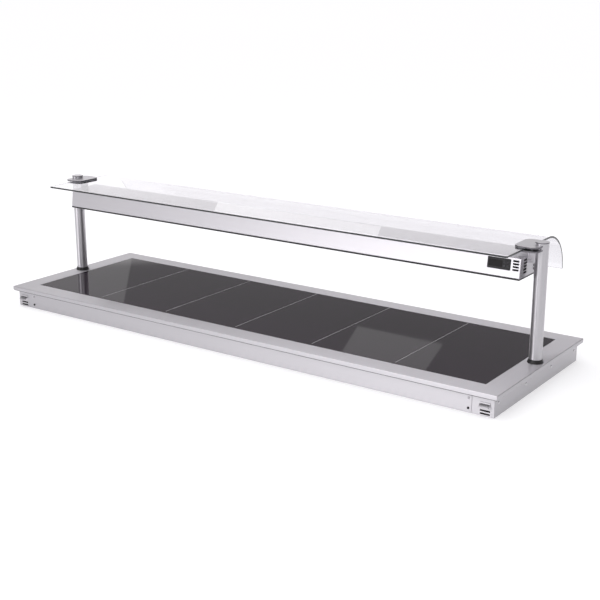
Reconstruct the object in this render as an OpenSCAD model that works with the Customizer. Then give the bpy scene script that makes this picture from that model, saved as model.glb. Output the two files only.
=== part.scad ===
/* [Hot plate] */
// Heating zones side by side, each under one long food pan
zone_count = 6; // [2:1:6]
// Width of one heating zone
zone_w = 326; // [300:1:360]
// Depth of the plate opening, front to back
open_w = 530; // [420:5:600]
// Thickness of the black ceramic glass
ceramic_t = 4; // [3:0.5:6]
// How far the ceramic glass lies below the flange
ceramic_drop = 0.3; // [0:0.1:1]
// Width of the silicone joint round the ceramic glass
seal_w = 2; // [1:0.5:4]
// Width of the zone marks on the glass
mark_w = 2.4; // [1:0.2:5]
// How far the zone marks end before the front edge
mark_front = 12; // [4:1:40]

/* [Flange] */
// Flange width at each end
border_end = 74.5; // [70:0.5:90]
// Flange width at the front
border_front = 75; // [50:1:100]
// Flange width at the back
border_back = 65; // [50:1:100]
// Sheet thickness of the flange
flange_t = 1.5; // [1:0.1:2]
// Height of the turned-down lip
lip_h = 15; // [12:1:25]
// Width of the return under the lip
return_w = 12; // [8:0.5:12]
// Corner radius of the flange, seen from above
corner_r = 3; // [1:0.5:6]
// Width of the ledge that carries the ceramic glass
ledge_w = 14; // [13:1:20]
// Thickness of the bedding tape on the ledge
tape_t = 2.7; // [2:0.1:4]
// Thickness of the gasket between lip and worktop
gasket_t = 2; // [1:0.5:4]

/* [Body] */
// Height of the flange's top over the bottom of the body
base_h = 80; // [72:1:120]
// Body set in from the flange at each end
inset_end = 15; // [13:0.5:16]
// Body set in from the flange at the front
inset_front = 17; // [16:0.5:25]
// Body set in from the flange at the back
inset_back = 15; // [15:0.5:25]
// Sheet thickness of the body
body_t = 1.2; // [0.8:0.1:1.5]
// Distance of the access panel's ends from the body's ends
panel_margin = 75.5; // [70:0.5:120]
// Height of the access panel's lower edge over the bottom
panel_z = 5; // [3:1:10]
// Thickness of the access panel
panel_t = 1.5; // [1:0.1:2]
// Length of the air slots beside the access panel
slot_l = 34; // [20:1:40]
// Height of the air slots
slot_h = 5.5; // [2:0.5:6]
// Distance between the two air slots
slot_pitch = 10; // [8:0.5:12]
// Reach of the hoods over the air slots
hood_reach = 15; // [8:1:16]
// Height of the tray under the insulation
tray_z = 46; // [42:1:50]
// Rivets along each end of the body
rivet_count = 4; // [2:1:6]
// Distance of the outer rivets from the body's corners
rivet_margin = 27; // [15:1:60]
// Height of the rivets over the bottom
rivet_z = 44; // [30:1:52]

/* [Heater] */
// Thickness of a heating mat
mat_t = 2.5; // [1.5:0.5:4]
// Gap between neighbouring heating mats
mat_gap = 26; // [10:1:60]
// Space from the heating mats to the front and back of the opening
mat_margin = 30; // [20:1:60]

/* [Posts] */
// Distance of a post's axis from the flange's end
post_inset = 35; // [34:0.5:40]
// Post axis behind the middle of the flange
post_y = 13; // [-20:1:30]
// Outside diameter of the posts
post_d = 42.4; // [38:0.1:44]
// Wall of the posts
post_wall = 2; // [1.5:0.1:3]
// Height of the posts over the flange
post_h = 393; // [360:1:450]
// Diameter of the black foot collars
collar_d = 53; // [48:0.5:56]
// Height of the foot collars
collar_h = 12; // [8:1:20]
// Height of the caps on the posts
cap_h = 3.5; // [2:0.5:6]

/* [Glass shelf] */
// Gap from a post's axis to the end of the glass shelf
shelf_gap = 32.5; // [30:0.5:36]
// Thickness of the glass shelf
shelf_t = 6; // [5:1:10]
// Reach of the shelf in front of the posts' axes
shelf_front = 184; // [120:1:220]
// Flat length of the shelf behind the posts' axes
shelf_back = 132; // [90:1:160]
// Middle radius of the bend at the back
bend_r = 126; // [80:1:140]
// Straight end after the bend
tail_l = 4; // [2:1:20]
// Thickness of the clamp plates
clamp_t = 5; // [4:0.5:8]
// Thickness of the pads between the clamp plates and the glass
pad_t = 1; // [0.5:0.5:2]
// Height of the post over the upper clamp plate
post_over = 5; // [3:1:12]
// Reach of the clamp plates towards the middle
clamp_in = 72; // [60:1:90]
// Reach of the clamp plates towards the outside
clamp_out = 10; // [4:1:14]
// Reach of the clamp plates to the front
clamp_front = 62; // [50:1:80]
// Reach of the clamp plates to the back
clamp_back = 52; // [48:1:80]
// Corner radius of the clamp plates
clamp_r = 24; // [10:1:30]

/* [Gantry] */
// Gap from a post's axis to the end of the gantry
gantry_gap = 37.5; // [36:0.5:40]
// Height of the gantry housing
gantry_h = 64; // [60:1:72]
// Drop of the gantry's top under the lower clamp plate
gantry_drop = 21; // [15:1:30]
// Width of the gantry at its bottom
gantry_bottom_w = 152; // [140:1:170]
// Width of the gantry at its top
gantry_top_w = 134; // [120:1:140]
// Sheet thickness of the gantry
gantry_t = 1.2; // [1:0.1:1.5]
// Height of the dark guard frame under the gantry
guard_h = 4.5; // [2:0.5:5]
// Length of the control compartment at the right end
control_l = 130; // [120:1:160]
// Lamps along the gantry
lamp_count = 6; // [3:1:6]
// Diameter of a lamp's quartz tube
lamp_d = 10; // [8:0.5:12]

/* [Controller] */
// Width of the controller's face
face_w = 78; // [76:1:82]
// Height of the controller's face
face_h = 36; // [34:1:38]
// Thickness of the controller's face
face_t = 3; // [2:0.5:5]
// Depth of the controller's case behind the fascia
case_d = 58; // [40:1:60]
// Distance from the gantry's end to the controller's face
face_end = 34; // [32:1:40]
// Width of a key
key_w = 7; // [5:0.5:8]
// Height of a key
key_h = 6; // [4:0.5:8]
// Travel of a key
key_travel = 0.8; // [0.4:0.1:1.5]

/* [Hidden] */
$fn = 64;

// Clearance of pieces that slide or drop into each other
fit = 0.3;
// Clearance of a screw in its hole
screw_fit = 0.25;
// Overlap of a cut beyond the face it opens
cut = 1;

// Plan of the flange and the opening
open_l = zone_count * zone_w;
flange_l = open_l + 2 * border_end;
flange_w = open_w + border_front + border_back;
front_y = -flange_w / 2;
back_y = flange_w / 2;
open_y = front_y + border_front + open_w / 2;
well_z = base_h - ceramic_drop - ceramic_t - tape_t;
ledge_z = well_z - flange_t;
ceramic_z = well_z + tape_t;
under_z = base_h - flange_t;
lip_z = base_h - lip_h;
seat_z = lip_z - gasket_t;

// Plan of the body
body_l = flange_l - 2 * inset_end;
body_y0 = front_y + inset_front;
body_y1 = back_y - inset_back;
body_w = body_y1 - body_y0;
body_y = (body_y0 + body_y1) / 2;
panel_l = body_l - 2 * panel_margin;
panel_gap = 1;
panel_h = seat_z - panel_gap - panel_z;
panel_rim = 25;
panel_edge = 8;
panel_screw_inset = 11;
panel_screw_low = 11;
panel_screw_high = 14;
panel_screw_r = 2;
slot_inset = 31.5;
slot_x = body_l / 2 - slot_inset;
slot_z = 8;
hood_over = 22;
hood_z = slot_z + slot_pitch + hood_over;
hood_fall = 10;
hood_t = 1;
hood_tab = 6;
rivet_r = 2.4;
rivet_pitch = (body_w - 2 * rivet_margin) / (rivet_count - 1);
tray_rim = 6;
board_gap = 1;
probe_r = 3;
probe_l = 60;
limiter_r = 8;
limiter_h = 9;

// Electrical pieces on the floor and the back wall of the body
gland_in = 120;
gland_x = -body_l / 2 + gland_in;
gland_z = 36;
gland_r = 6;
gland_thread_r = 10;
gland_hex_r = 13.8;
gland_hex_h = 4;
gland_dome_r = 11.5;
gland_dome_h = 6;
gland_tip_h = 3.5;
gland_tip_r = 9;
gland_inside = 18;
gland_nut_h = 5;
earth_gap = 60;
earth_x = gland_x + earth_gap;
earth_r = 3;
earth_nut_r = 5.8;
earth_nut_h = 3;
earth_out = 13;
earth_in = 10;
block_l = 80;
block_w = 35;
block_h = 28;
block_back = 75;
pole_count = 5;
pole_pitch = 16;
pole_r = 3;
pole_depth = 12;
relay_count = 3;
relay_l = 45;
relay_w = 58;
relay_h = 32;
relay_pitch = 60;
relay_back = 62;
loom_shift = 60;
loom_y = body_y + loom_shift;
loom_r = 5;
lead_r = 2;

// Posts
post_x = flange_l / 2 - post_inset;
post_r = post_d / 2;
post_in_r = post_r - post_wall;
post_top = base_h + post_h;
plug_h = 20;
stud_r = 8;
stud_bore = 5;
spreader_t = 6;
spreader_w = 90;
spreader_gap = 2;
nut_r = 13.5;
nut_h = 10;
thread_fit = 0.05;
cable_r = 3.5;
cable_bend = 10;
cable_below = 20;
cable_in = 15;
cap_over = 0.8;
spigot_h = 12;

// Stack of the clamp plates and the glass
upper_z = post_top - post_over - clamp_t;
shelf_z = upper_z - pad_t - shelf_t;
lower_z = shelf_z - pad_t - clamp_t;
shelf_l = 2 * (post_x - shelf_gap);
clamp_screw_in = 20;
clamp_screw_y = 34;
clamp_screw_r = 2.5;
clamp_skin = 1.2;
clamp_fit = 0.1;

// Gantry
gantry_l = 2 * (post_x - gantry_gap);
gantry_top = lower_z - gantry_drop;
gantry_z = gantry_top - gantry_h;
lean = atan((gantry_bottom_w - gantry_top_w) / 2 / gantry_h);
hook_w = 11;
guard_z = gantry_z - guard_h;
hanger_w = 40;
hanger_step = 4;
hanger_t = 4;
hanger_lap = 21;
hanger_z = gantry_top - hanger_lap;
hanger_axis_drop = 11;
hanger_axis_z = gantry_top - hanger_axis_drop;
hanger_screw_y = 14;
hanger_screw_r = 2.5;
hanger_screw_l = 10;
mirror_gap = 20;
mirror_x0 = -gantry_l / 2 + gantry_t + mirror_gap;
mirror_x1 = gantry_l / 2 - control_l;
mirror_l = mirror_x1 - mirror_x0;
mirror_top = gantry_top - mirror_gap;
mirror_t = 0.8;
mirror_side = 12;
mirror_w = gantry_bottom_w - 2 * mirror_side;
mirror_top_w = 80;
mirror_rim_gap = 2;
lamp_pitch = mirror_l / lamp_count;
lamp_gap = 32;
lamp_over = 24;
lamp_z = gantry_z + lamp_over;
lamp_fit = 0.05;
holder_t = 12;
holder_w = 20;
holder_below = 3;
end_slot_count = 5;
end_slot_l = 24;
end_slot_h = 6.5;
end_slot_pitch = 10;
end_slot_z = 15;
end_slot_y = 35;
end_screw_y = 33;
end_screw_z = 13;
end_screw_pitch = 11;
end_screw_r = 1.9;
end_screw_l = 6;
tab_l = 14;
tab_y = 20;
tab_w = 26;
tab_over = 6;
tab_h = end_screw_z + end_screw_pitch + tab_over;
rod_step = 50;
rod_lap = 1;
rod_slack = 0.1;
guard_lap = 1;
guard_rim = hook_w - guard_lap;
guard_margin = 5;
cover_gap = 1;
cover_side = 4;
cover_end = 16;
strip_l = 50;
strip_w = 18;
strip_h = 16;
strip_in = 10;
strip_y = 30;

// Controller, in the leaning plane of the fascia
face_x = gantry_l / 2 - face_end - face_w / 2;
face_up = 41;
face_r = 2;
face_rim = 1.5;
fascia_slot_count = 4;
fascia_slot_l = 21;
fascia_slot_h = 6;
fascia_slot_pitch = 9.3;
fascia_slot_end = 16;
fascia_slot_up = face_up - (fascia_slot_count - 1) / 2 * fascia_slot_pitch;
display_w = 46;
display_h = 22;
display_t = 1;
display_in = 5;
key_rise = 1;
key_depth = 5;
key_x = 25;
key_pitch_x = 11;
key_pitch_z = 11;

// Colours of the real finishes
steel = [0.78, 0.77, 0.79];
bright = [0.9, 0.9, 0.92];
dark = [0.1, 0.1, 0.11];

module rounded(l, w, r) {
    square([l - 2 * r, w], center = true);
    square([l, w - 2 * r], center = true);
    for (sx = [-1, 1], sy = [-1, 1])
        translate([sx * (l / 2 - r), sy * (w / 2 - r)])
            circle(r = r, $fn = 48);
}

module slab(l, w, z0, z1, y = 0) {
    translate([-l / 2, y - w / 2, z0])
        cube([l, w, z1 - z0]);
}

module ring(l, w, in_l, in_w, z0, z1, y = 0, in_y = 0) {
    difference() {
        slab(l, w, z0, z1, y);
        slab(in_l, in_w, z0 - cut, z1 + cut, in_y);
    }
}

// Extrudes a profile drawn in Y and Z along X
module along_x(x0, x1) {
    translate([x0, 0, 0])
        rotate([90, 0, 90])
            linear_extrude(x1 - x0)
                children();
}

// A round bar along X
module bar_x(x0, x1, y, z, r) {
    translate([x0, y, z])
        rotate([0, 90, 0])
            cylinder(h = x1 - x0, r = r);
}

// A pan-head screw whose head looks along +Z and whose shank starts at the origin
module screw(r, shank) {
    head_h = 1.1 * r;
    cross_l = 2.2 * r;
    cross_w = 0.4 * r;
    cross_z = 0.5 * r;
    translate([0, 0, -shank])
        cylinder(h = shank, r = r, $fn = 32);
    difference() {
        cylinder(h = head_h, r1 = 2 * r, r2 = 1.7 * r, $fn = 32);
        for (a = [0, 90])
            rotate([0, 0, a])
                translate([-cross_l / 2, -cross_w / 2, cross_z])
                    cube([cross_l, cross_w, head_h]);
    }
}

// Base: frame, glass and seals

module flange_frame() {
    color(steel) difference() {
        union() {
            difference() {
                translate([0, 0, lip_z])
                    linear_extrude(lip_h)
                        rounded(flange_l, flange_w, corner_r);
                slab(flange_l - 2 * flange_t, flange_w - 2 * flange_t, lip_z + flange_t, under_z);
                slab(flange_l - 2 * return_w, flange_w - 2 * return_w, lip_z - cut, lip_z + flange_t + cut);
                slab(open_l, open_w, under_z - cut, base_h + cut, open_y);
            }
            slab(open_l + 2 * flange_t, open_w + 2 * flange_t, ledge_z, base_h, open_y);
        }
        slab(open_l, open_w, well_z, base_h + cut, open_y);
        slab(open_l - 2 * ledge_w, open_w - 2 * ledge_w, ledge_z - cut, base_h, open_y);
        for (s = [-1, 1])
            translate([s * post_x, post_y, under_z - cut])
                cylinder(h = flange_t + 2 * cut, r = stud_r + screw_fit);
    }
}

module ceramic_glass() {
    color([0.16, 0.15, 0.16])
        slab(open_l - 2 * seal_w, open_w - 2 * seal_w, ceramic_z, ceramic_z + ceramic_t, open_y);
}

module zone_marks() {
    mark_t = 0.2;
    mark_back = 4;
    top = ceramic_z + ceramic_t;
    color([0.75, 0.74, 0.75]) for (i = [1 : zone_count - 1])
        translate([-open_l / 2 + i * zone_w - mark_w / 2, open_y - open_w / 2 + seal_w + mark_front, top])
            cube([mark_w, open_w - 2 * seal_w - mark_front - mark_back, mark_t]);
}

module glass_seal() {
    bead_drop = 0.4;
    color(dark)
        ring(open_l, open_w, open_l - 2 * seal_w, open_w - 2 * seal_w,
            ceramic_z, ceramic_z + ceramic_t - bead_drop, open_y, open_y);
}

module bedding_tape() {
    tape_gap = 2;
    tape_w = ledge_w - tape_gap;
    color([0.85, 0.85, 0.82])
        ring(open_l, open_w, open_l - 2 * tape_w, open_w - 2 * tape_w, well_z, ceramic_z, open_y, open_y);
}

module flange_gasket() {
    outer = 3;
    color(dark)
        ring(flange_l - 2 * outer, flange_w - 2 * outer, flange_l - 2 * return_w, flange_w - 2 * return_w,
            seat_z, lip_z);
}

// Base: body and covers

module air_slots(x, y0, y1) {
    for (i = [0, 1])
        translate([x - slot_l / 2, y0, slot_z + i * slot_pitch - slot_h / 2])
            cube([slot_l, y1 - y0, slot_h]);
}

// A hole in the back wall of the body
module back_hole(x, z, r) {
    translate([x, body_y1 + cut, z])
        rotate([90, 0, 0])
            cylinder(h = body_t + 2 * cut, r = r);
}

module body_pan() {
    color(steel) difference() {
        slab(body_l, body_w, 0, under_z, body_y);
        slab(body_l - 2 * body_t, body_w - 2 * body_t, body_t, under_z + cut, body_y);
        translate([-panel_l / 2 + panel_rim, body_y0 - cut, panel_z + panel_edge])
            cube([panel_l - 2 * panel_rim, body_t + 2 * cut, panel_h - 2 * panel_edge]);
        for (s = [-1, 1]) {
            air_slots(s * slot_x, body_y0 - cut, body_y0 + body_t + cut);
            air_slots(s * slot_x, body_y1 - body_t - cut, body_y1 + cut);
            panel_screw_places(s) rotate([90, 0, 0])
                translate([0, 0, -body_t - cut])
                    cylinder(h = body_t + 2 * cut, r = panel_screw_r + screw_fit);
            rivet_places(s)
                translate([0, 0, -body_t - cut])
                    cylinder(h = body_t + 2 * cut, r = rivet_r + thread_fit);
        }
        back_hole(gland_x, gland_z, gland_thread_r + screw_fit);
        back_hole(earth_x, gland_z, earth_r + screw_fit);
    }
}

// Puts its children at the rivets of one end, with +Z pointing out of the body
module rivet_places(s) {
    for (i = [0 : rivet_count - 1])
        translate([s * body_l / 2, body_y0 + rivet_margin + i * rivet_pitch, rivet_z])
            rotate([0, s * 90, 0])
                children();
}

module side_rivets() {
    head_h = 1.4;
    tail_h = 2;
    color(bright) for (s = [-1, 1]) rivet_places(s) {
        translate([0, 0, -body_t - cut])
            cylinder(h = body_t + 2 * cut, r = rivet_r, $fn = 32);
        translate([0, 0, -body_t - tail_h])
            cylinder(h = tail_h, r = 1.5 * rivet_r, $fn = 32);
        cylinder(h = head_h, r1 = 2 * rivet_r, r2 = 1.4 * rivet_r, $fn = 32);
    }
}

// Puts its children at the two fixing points at one end of the access panel
module panel_screw_places(s, which = [0, 1]) {
    for (i = which)
        translate([
            s * (panel_l / 2 - panel_screw_inset),
            body_y0,
            i == 0 ? panel_z + panel_screw_low : panel_z + panel_h - panel_screw_high
        ])
            children();
}

module access_panel() {
    color(steel) difference() {
        translate([-panel_l / 2, body_y0 - panel_t, panel_z])
            cube([panel_l, panel_t, panel_h]);
        for (s = [-1, 1])
            panel_screw_places(s) rotate([90, 0, 0])
                translate([0, 0, -cut])
                    cylinder(h = panel_t + 2 * cut, r = panel_screw_r + screw_fit);
    }
}

module panel_fixing(which) {
    shank = 8;
    for (s = [-1, 1])
        panel_screw_places(s, [which])
            translate([0, -panel_t, 0])
                rotate([90, 0, 0])
                    screw(panel_screw_r, shank);
}

module panel_screws() {
    color(bright) panel_fixing(1);
}

module panel_locks() {
    color(dark) panel_fixing(0);
}

module air_hoods() {
    tip = body_y0 - hood_reach;
    color(steel) for (s = [-1, 1]) along_x(s * slot_x - slot_l / 2, s * slot_x + slot_l / 2)
        polygon([
            [body_y0, hood_z],
            [tip, hood_z - hood_fall],
            [tip, hood_z - hood_fall + hood_t],
            [body_y0 - hood_t, hood_z + hood_t],
            [body_y0 - hood_t, hood_z + hood_tab],
            [body_y0, hood_z + hood_tab]
        ]);
}

// Base: heaters and wiring

// The middle of zone number i
function zone_x(i) = -open_l / 2 + (i + 0.5) * zone_w;

module heating_mats() {
    color([0.75, 0.35, 0.2]) for (i = [0 : zone_count - 1])
        translate([
            -open_l / 2 + i * zone_w + mat_gap / 2,
            open_y - open_w / 2 + mat_margin,
            ceramic_z - mat_t
        ])
            cube([zone_w - mat_gap, open_w - 2 * mat_margin, mat_t]);
}

module insulation_board() {
    top = ceramic_z - mat_t;
    floor_z = tray_z + body_t;
    margin = ledge_w + board_gap;
    color([0.9, 0.88, 0.8]) difference() {
        slab(open_l - 2 * margin, open_w - 2 * margin, floor_z, top, open_y);
        translate([zone_w / 2 - probe_r, open_y - probe_l / 2, top - 2 * probe_r])
            cube([2 * probe_r, probe_l, 3 * probe_r]);
    }
}

module plate_probe() {
    color(bright) translate([zone_w / 2, open_y - probe_l / 2, ceramic_z - mat_t - probe_r])
        rotate([-90, 0, 0])
            cylinder(h = probe_l, r = probe_r);
}

module carrier_tray() {
    l = open_l - 2 * tray_rim;
    w = open_w - 2 * tray_rim;
    color([0.7, 0.72, 0.74]) difference() {
        slab(l, w, tray_z, ledge_z, open_y);
        slab(l - 2 * body_t, w - 2 * body_t, tray_z + body_t, ledge_z + cut, open_y);
    }
}

module limit_thermostats() {
    color([0.85, 0.8, 0.7]) for (i = [0 : zone_count - 1])
        translate([zone_x(i), loom_y, tray_z - limiter_h])
            cylinder(h = limiter_h, r = limiter_r);
}

module wiring_loom() {
    loom_z = body_t + loom_r;
    color([0.2, 0.2, 0.22]) {
        bar_x(gland_x + block_l / 2, zone_x(zone_count - 1) + limiter_r, loom_y, loom_z, loom_r);
        for (i = [0 : zone_count - 1])
            translate([zone_x(i), loom_y, loom_z])
                cylinder(h = tray_z - limiter_h - loom_z, r = lead_r);
    }
}

module terminal_block() {
    color([0.9, 0.9, 0.85]) translate([gland_x, body_y1 - block_back, body_t]) difference() {
        translate([-block_l / 2, -block_w, 0])
            cube([block_l, block_w, block_h]);
        for (i = [0 : pole_count - 1])
            translate([(i - (pole_count - 1) / 2) * pole_pitch, -block_w / 2, block_h - pole_depth])
                cylinder(h = pole_depth + cut, r = pole_r);
    }
}

module power_relays() {
    color([0.25, 0.25, 0.28]) for (i = [0 : relay_count - 1])
        translate([earth_x + i * relay_pitch, body_y1 - relay_back - relay_w, body_t])
            cube([relay_l, relay_w, relay_h]);
}

module cable_gland() {
    hex_top = gland_hex_h + gland_dome_h;
    color(dark) translate([gland_x, body_y1, gland_z]) rotate([-90, 0, 0]) difference() {
        union() {
            translate([0, 0, -gland_inside])
                cylinder(h = gland_inside, r = gland_thread_r);
            cylinder(h = gland_hex_h, r = gland_hex_r, $fn = 6);
            translate([0, 0, gland_hex_h])
                cylinder(h = gland_dome_h, r = gland_dome_r);
            translate([0, 0, hex_top])
                cylinder(h = gland_tip_h, r1 = gland_dome_r, r2 = gland_tip_r);
        }
        translate([0, 0, -gland_inside - cut])
            cylinder(h = gland_inside + hex_top + gland_tip_h + 2 * cut, r = gland_r);
    }
}

module gland_nut() {
    color(dark) translate([gland_x, body_y1 - body_t, gland_z]) rotate([90, 0, 0]) difference() {
        cylinder(h = gland_nut_h, r = gland_hex_r, $fn = 6);
        translate([0, 0, -cut])
            cylinder(h = gland_nut_h + 2 * cut, r = gland_thread_r);
    }
}

module earth_stud() {
    color([0.8, 0.65, 0.3]) translate([earth_x, body_y1, gland_z]) rotate([-90, 0, 0]) {
        translate([0, 0, -earth_in])
            cylinder(h = earth_in + earth_out, r = earth_r);
        cylinder(h = earth_nut_h, r = earth_nut_r, $fn = 6);
        translate([0, 0, -body_t - earth_nut_h])
            cylinder(h = earth_nut_h, r = earth_nut_r, $fn = 6);
    }
}

// Posts

module post(s) {
    color(bright) difference() {
        translate([s * post_x, post_y, base_h])
            cylinder(h = post_h, r = post_r, $fn = 96);
        translate([s * post_x, post_y, base_h - cut])
            cylinder(h = post_h + 2 * cut, r = post_in_r, $fn = 96);
        bar_x(s * post_x - (s > 0 ? post_d : 0), s * post_x + (s > 0 ? 0 : post_d),
            post_y, hanger_axis_z, cable_r + screw_fit);
    }
}

module post_left() post(-1);
module post_right() post(1);

module collar(s) {
    in_r = post_r + thread_fit;
    edge = 1;
    color(dark) translate([s * post_x, post_y, base_h]) rotate_extrude($fn = 96)
        polygon([
            [in_r, 0],
            [collar_d / 2 - edge, 0],
            [collar_d / 2, edge],
            [collar_d / 2, collar_h / 3],
            [in_r + edge, collar_h],
            [in_r, collar_h]
        ]);
}

module collar_left() collar(-1);
module collar_right() collar(1);

module post_plugs() {
    color(bright) for (s = [-1, 1]) translate([s * post_x, post_y, base_h]) difference() {
        cylinder(h = plug_h, r = post_in_r - thread_fit, $fn = 96);
        translate([0, 0, -cut])
            cylinder(h = plug_h + 2 * cut, r = stud_r + thread_fit);
    }
}

module post_studs() {
    thread_over = 3;
    tail = flange_t + spreader_t + nut_h + thread_over;
    color(bright) for (s = [-1, 1]) translate([s * post_x, post_y, base_h - tail]) difference() {
        cylinder(h = tail + plug_h, r = stud_r);
        translate([0, 0, -cut])
            cylinder(h = tail + plug_h + 2 * cut, r = stud_bore);
    }
}

module spreader_plates() {
    x0 = open_l / 2 + flange_t + spreader_gap;
    x1 = body_l / 2 - body_t - spreader_gap;
    color(steel) for (s = [-1, 1]) difference() {
        translate([s > 0 ? x0 : -x1, post_y - spreader_w / 2, under_z - spreader_t])
            cube([x1 - x0, spreader_w, spreader_t]);
        translate([s * post_x, post_y, under_z - spreader_t - cut])
            cylinder(h = spreader_t + 2 * cut, r = stud_r + screw_fit);
    }
}

module stud_nuts() {
    color(bright) for (s = [-1, 1])
        translate([s * post_x, post_y, under_z - spreader_t - nut_h]) difference() {
            cylinder(h = nut_h, r = nut_r, $fn = 6);
            translate([0, 0, -cut])
                cylinder(h = nut_h + 2 * cut, r = stud_r + thread_fit);
        }
}

module cap(s) {
    r = post_r + cap_over;
    edge = 1;
    color(bright) translate([s * post_x, post_y, post_top]) rotate_extrude($fn = 96)
        polygon([
            [0, -spigot_h],
            [post_in_r - thread_fit, -spigot_h],
            [post_in_r - thread_fit, 0],
            [r, 0],
            [r, cap_h - edge],
            [r - edge, cap_h],
            [0, cap_h]
        ]);
}

module cap_left() cap(-1);
module cap_right() cap(1);

// The supply of the gantry: up the right post and through its hanger
module riser_cable() {
    foot = under_z - spreader_t - nut_h - cable_below;
    bend_z = hanger_axis_z - cable_bend;
    color([0.15, 0.15, 0.16]) {
        translate([post_x, post_y, foot])
            cylinder(h = bend_z - foot, r = cable_r);
        translate([post_x - cable_bend, post_y, bend_z])
            rotate([90, 0, 0])
                rotate_extrude(angle = 90)
                    translate([cable_bend, 0])
                        circle(r = cable_r);
        bar_x(gantry_l / 2 - cable_in, post_x - cable_bend, post_y, hanger_axis_z, cable_r);
    }
}

// Glass shelf and its clamps

module clamp_outline(s) {
    l = clamp_in + clamp_out;
    w = clamp_front + clamp_back;
    difference() {
        translate([-s * (clamp_in - clamp_out) / 2, (clamp_back - clamp_front) / 2])
            rounded(l, w, clamp_r);
        circle(r = post_r + clamp_fit, $fn = 96);
    }
}

// A blind plate keeps its upper face whole
module clamp_plate(s, z, hole_r, blind) {
    color(bright) translate([s * post_x, post_y, z]) difference() {
        linear_extrude(clamp_t)
            clamp_outline(s);
        for (sy = [-1, 1])
            translate([-s * clamp_screw_in, sy * clamp_screw_y, -cut])
                cylinder(h = clamp_t + cut + (blind ? -clamp_skin : cut), r = hole_r, $fn = 32);
    }
}

module lower_clamp_left() clamp_plate(-1, lower_z, clamp_screw_r + screw_fit, false);
module lower_clamp_right() clamp_plate(1, lower_z, clamp_screw_r + screw_fit, false);
module upper_clamp_left() clamp_plate(-1, upper_z, clamp_screw_r + thread_fit, true);
module upper_clamp_right() clamp_plate(1, upper_z, clamp_screw_r + thread_fit, true);

module clamp_pads() {
    color([0.75, 0.75, 0.78]) for (s = [-1, 1], z = [lower_z + clamp_t, upper_z - pad_t])
        translate([s * post_x, post_y, z])
            linear_extrude(pad_t)
                intersection() {
                    clamp_outline(s);
                    translate([-s * (clamp_in / 2 + shelf_gap), 0])
                        square([clamp_in, 4 * clamp_in], center = true);
                }
}

module clamp_screws() {
    tip_gap = 0.2;
    l = upper_z - lower_z + clamp_t - clamp_skin - tip_gap;
    color(bright) for (s = [-1, 1], sy = [-1, 1])
        translate([s * (post_x - clamp_screw_in), post_y + sy * clamp_screw_y, lower_z])
            rotate([180, 0, 0])
                screw(clamp_screw_r, l);
}

// The glass from the front edge over the bend to its hanging end, in Y and Z
module shelf_profile() {
    translate([-shelf_front, 0])
        square([shelf_front + shelf_back, shelf_t]);
    translate([shelf_back, shelf_t / 2 - bend_r]) {
        intersection() {
            difference() {
                circle(r = bend_r + shelf_t / 2, $fn = 180);
                circle(r = bend_r - shelf_t / 2, $fn = 180);
            }
            square(2 * bend_r);
        }
        translate([bend_r - shelf_t / 2, -tail_l])
            square([shelf_t, tail_l]);
    }
}

module glass_shelf() {
    color([0.8, 0.85, 0.88, 0.4])
        translate([0, post_y, shelf_z])
            along_x(-shelf_l / 2, shelf_l / 2)
                shelf_profile();
}

// Gantry

module hanger(s) {
    x0 = gantry_l / 2;
    bore_l = hanger_screw_l + cut;
    bore_r = hanger_screw_r + thread_fit;
    color(steel) difference() {
        union() {
            translate([s > 0 ? x0 : -x0 - hanger_t, post_y - hanger_w / 2, hanger_z])
                cube([hanger_t, hanger_w, lower_z - hanger_z]);
            translate([s > 0 ? x0 : -post_x, post_y - hanger_w / 2 + hanger_step, hanger_z])
                cube([post_x - x0, hanger_w - 2 * hanger_step, lower_z - hanger_z]);
        }
        translate([s * post_x, post_y, hanger_z - cut])
            cylinder(h = lower_z, r = post_r + thread_fit, $fn = 96);
        bar_x(s > 0 ? x0 - cut : -post_x, s > 0 ? post_x : -x0 + cut,
            post_y, hanger_axis_z, cable_r + screw_fit);
        for (sy = [-1, 1])
            bar_x(s > 0 ? x0 - cut : -x0 - bore_l, s > 0 ? x0 + bore_l : -x0 + cut,
                post_y + sy * hanger_screw_y, hanger_axis_z, bore_r);
    }
}

module hanger_left() hanger(-1);
module hanger_right() hanger(1);

module hanger_screws() {
    color(bright) for (s = [-1, 1], sy = [-1, 1])
        translate([s * (gantry_l / 2 - gantry_t), post_y + sy * hanger_screw_y, hanger_axis_z])
            rotate([0, -s * 90, 0])
                screw(hanger_screw_r, gantry_t + hanger_screw_l);
}

// The outline of the gantry in Y and Z, drawn in by inset all round
module gantry_outline(inset = 0) {
    b = gantry_bottom_w / 2 - inset / cos(lean) - inset * tan(lean);
    t = gantry_top_w / 2 - inset / cos(lean) + inset * tan(lean);
    polygon([
        [post_y - b, gantry_z + inset],
        [post_y + b, gantry_z + inset],
        [post_y + t, gantry_top - inset],
        [post_y - t, gantry_top - inset]
    ]);
}

// Puts its children on the leaning fascia: +Y goes into the gantry, +Z up the sheet
module on_fascia(x, up) {
    translate([x, post_y - gantry_bottom_w / 2, gantry_z])
        rotate([-lean, 0, 0])
            translate([0, 0, up])
                children();
}

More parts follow.
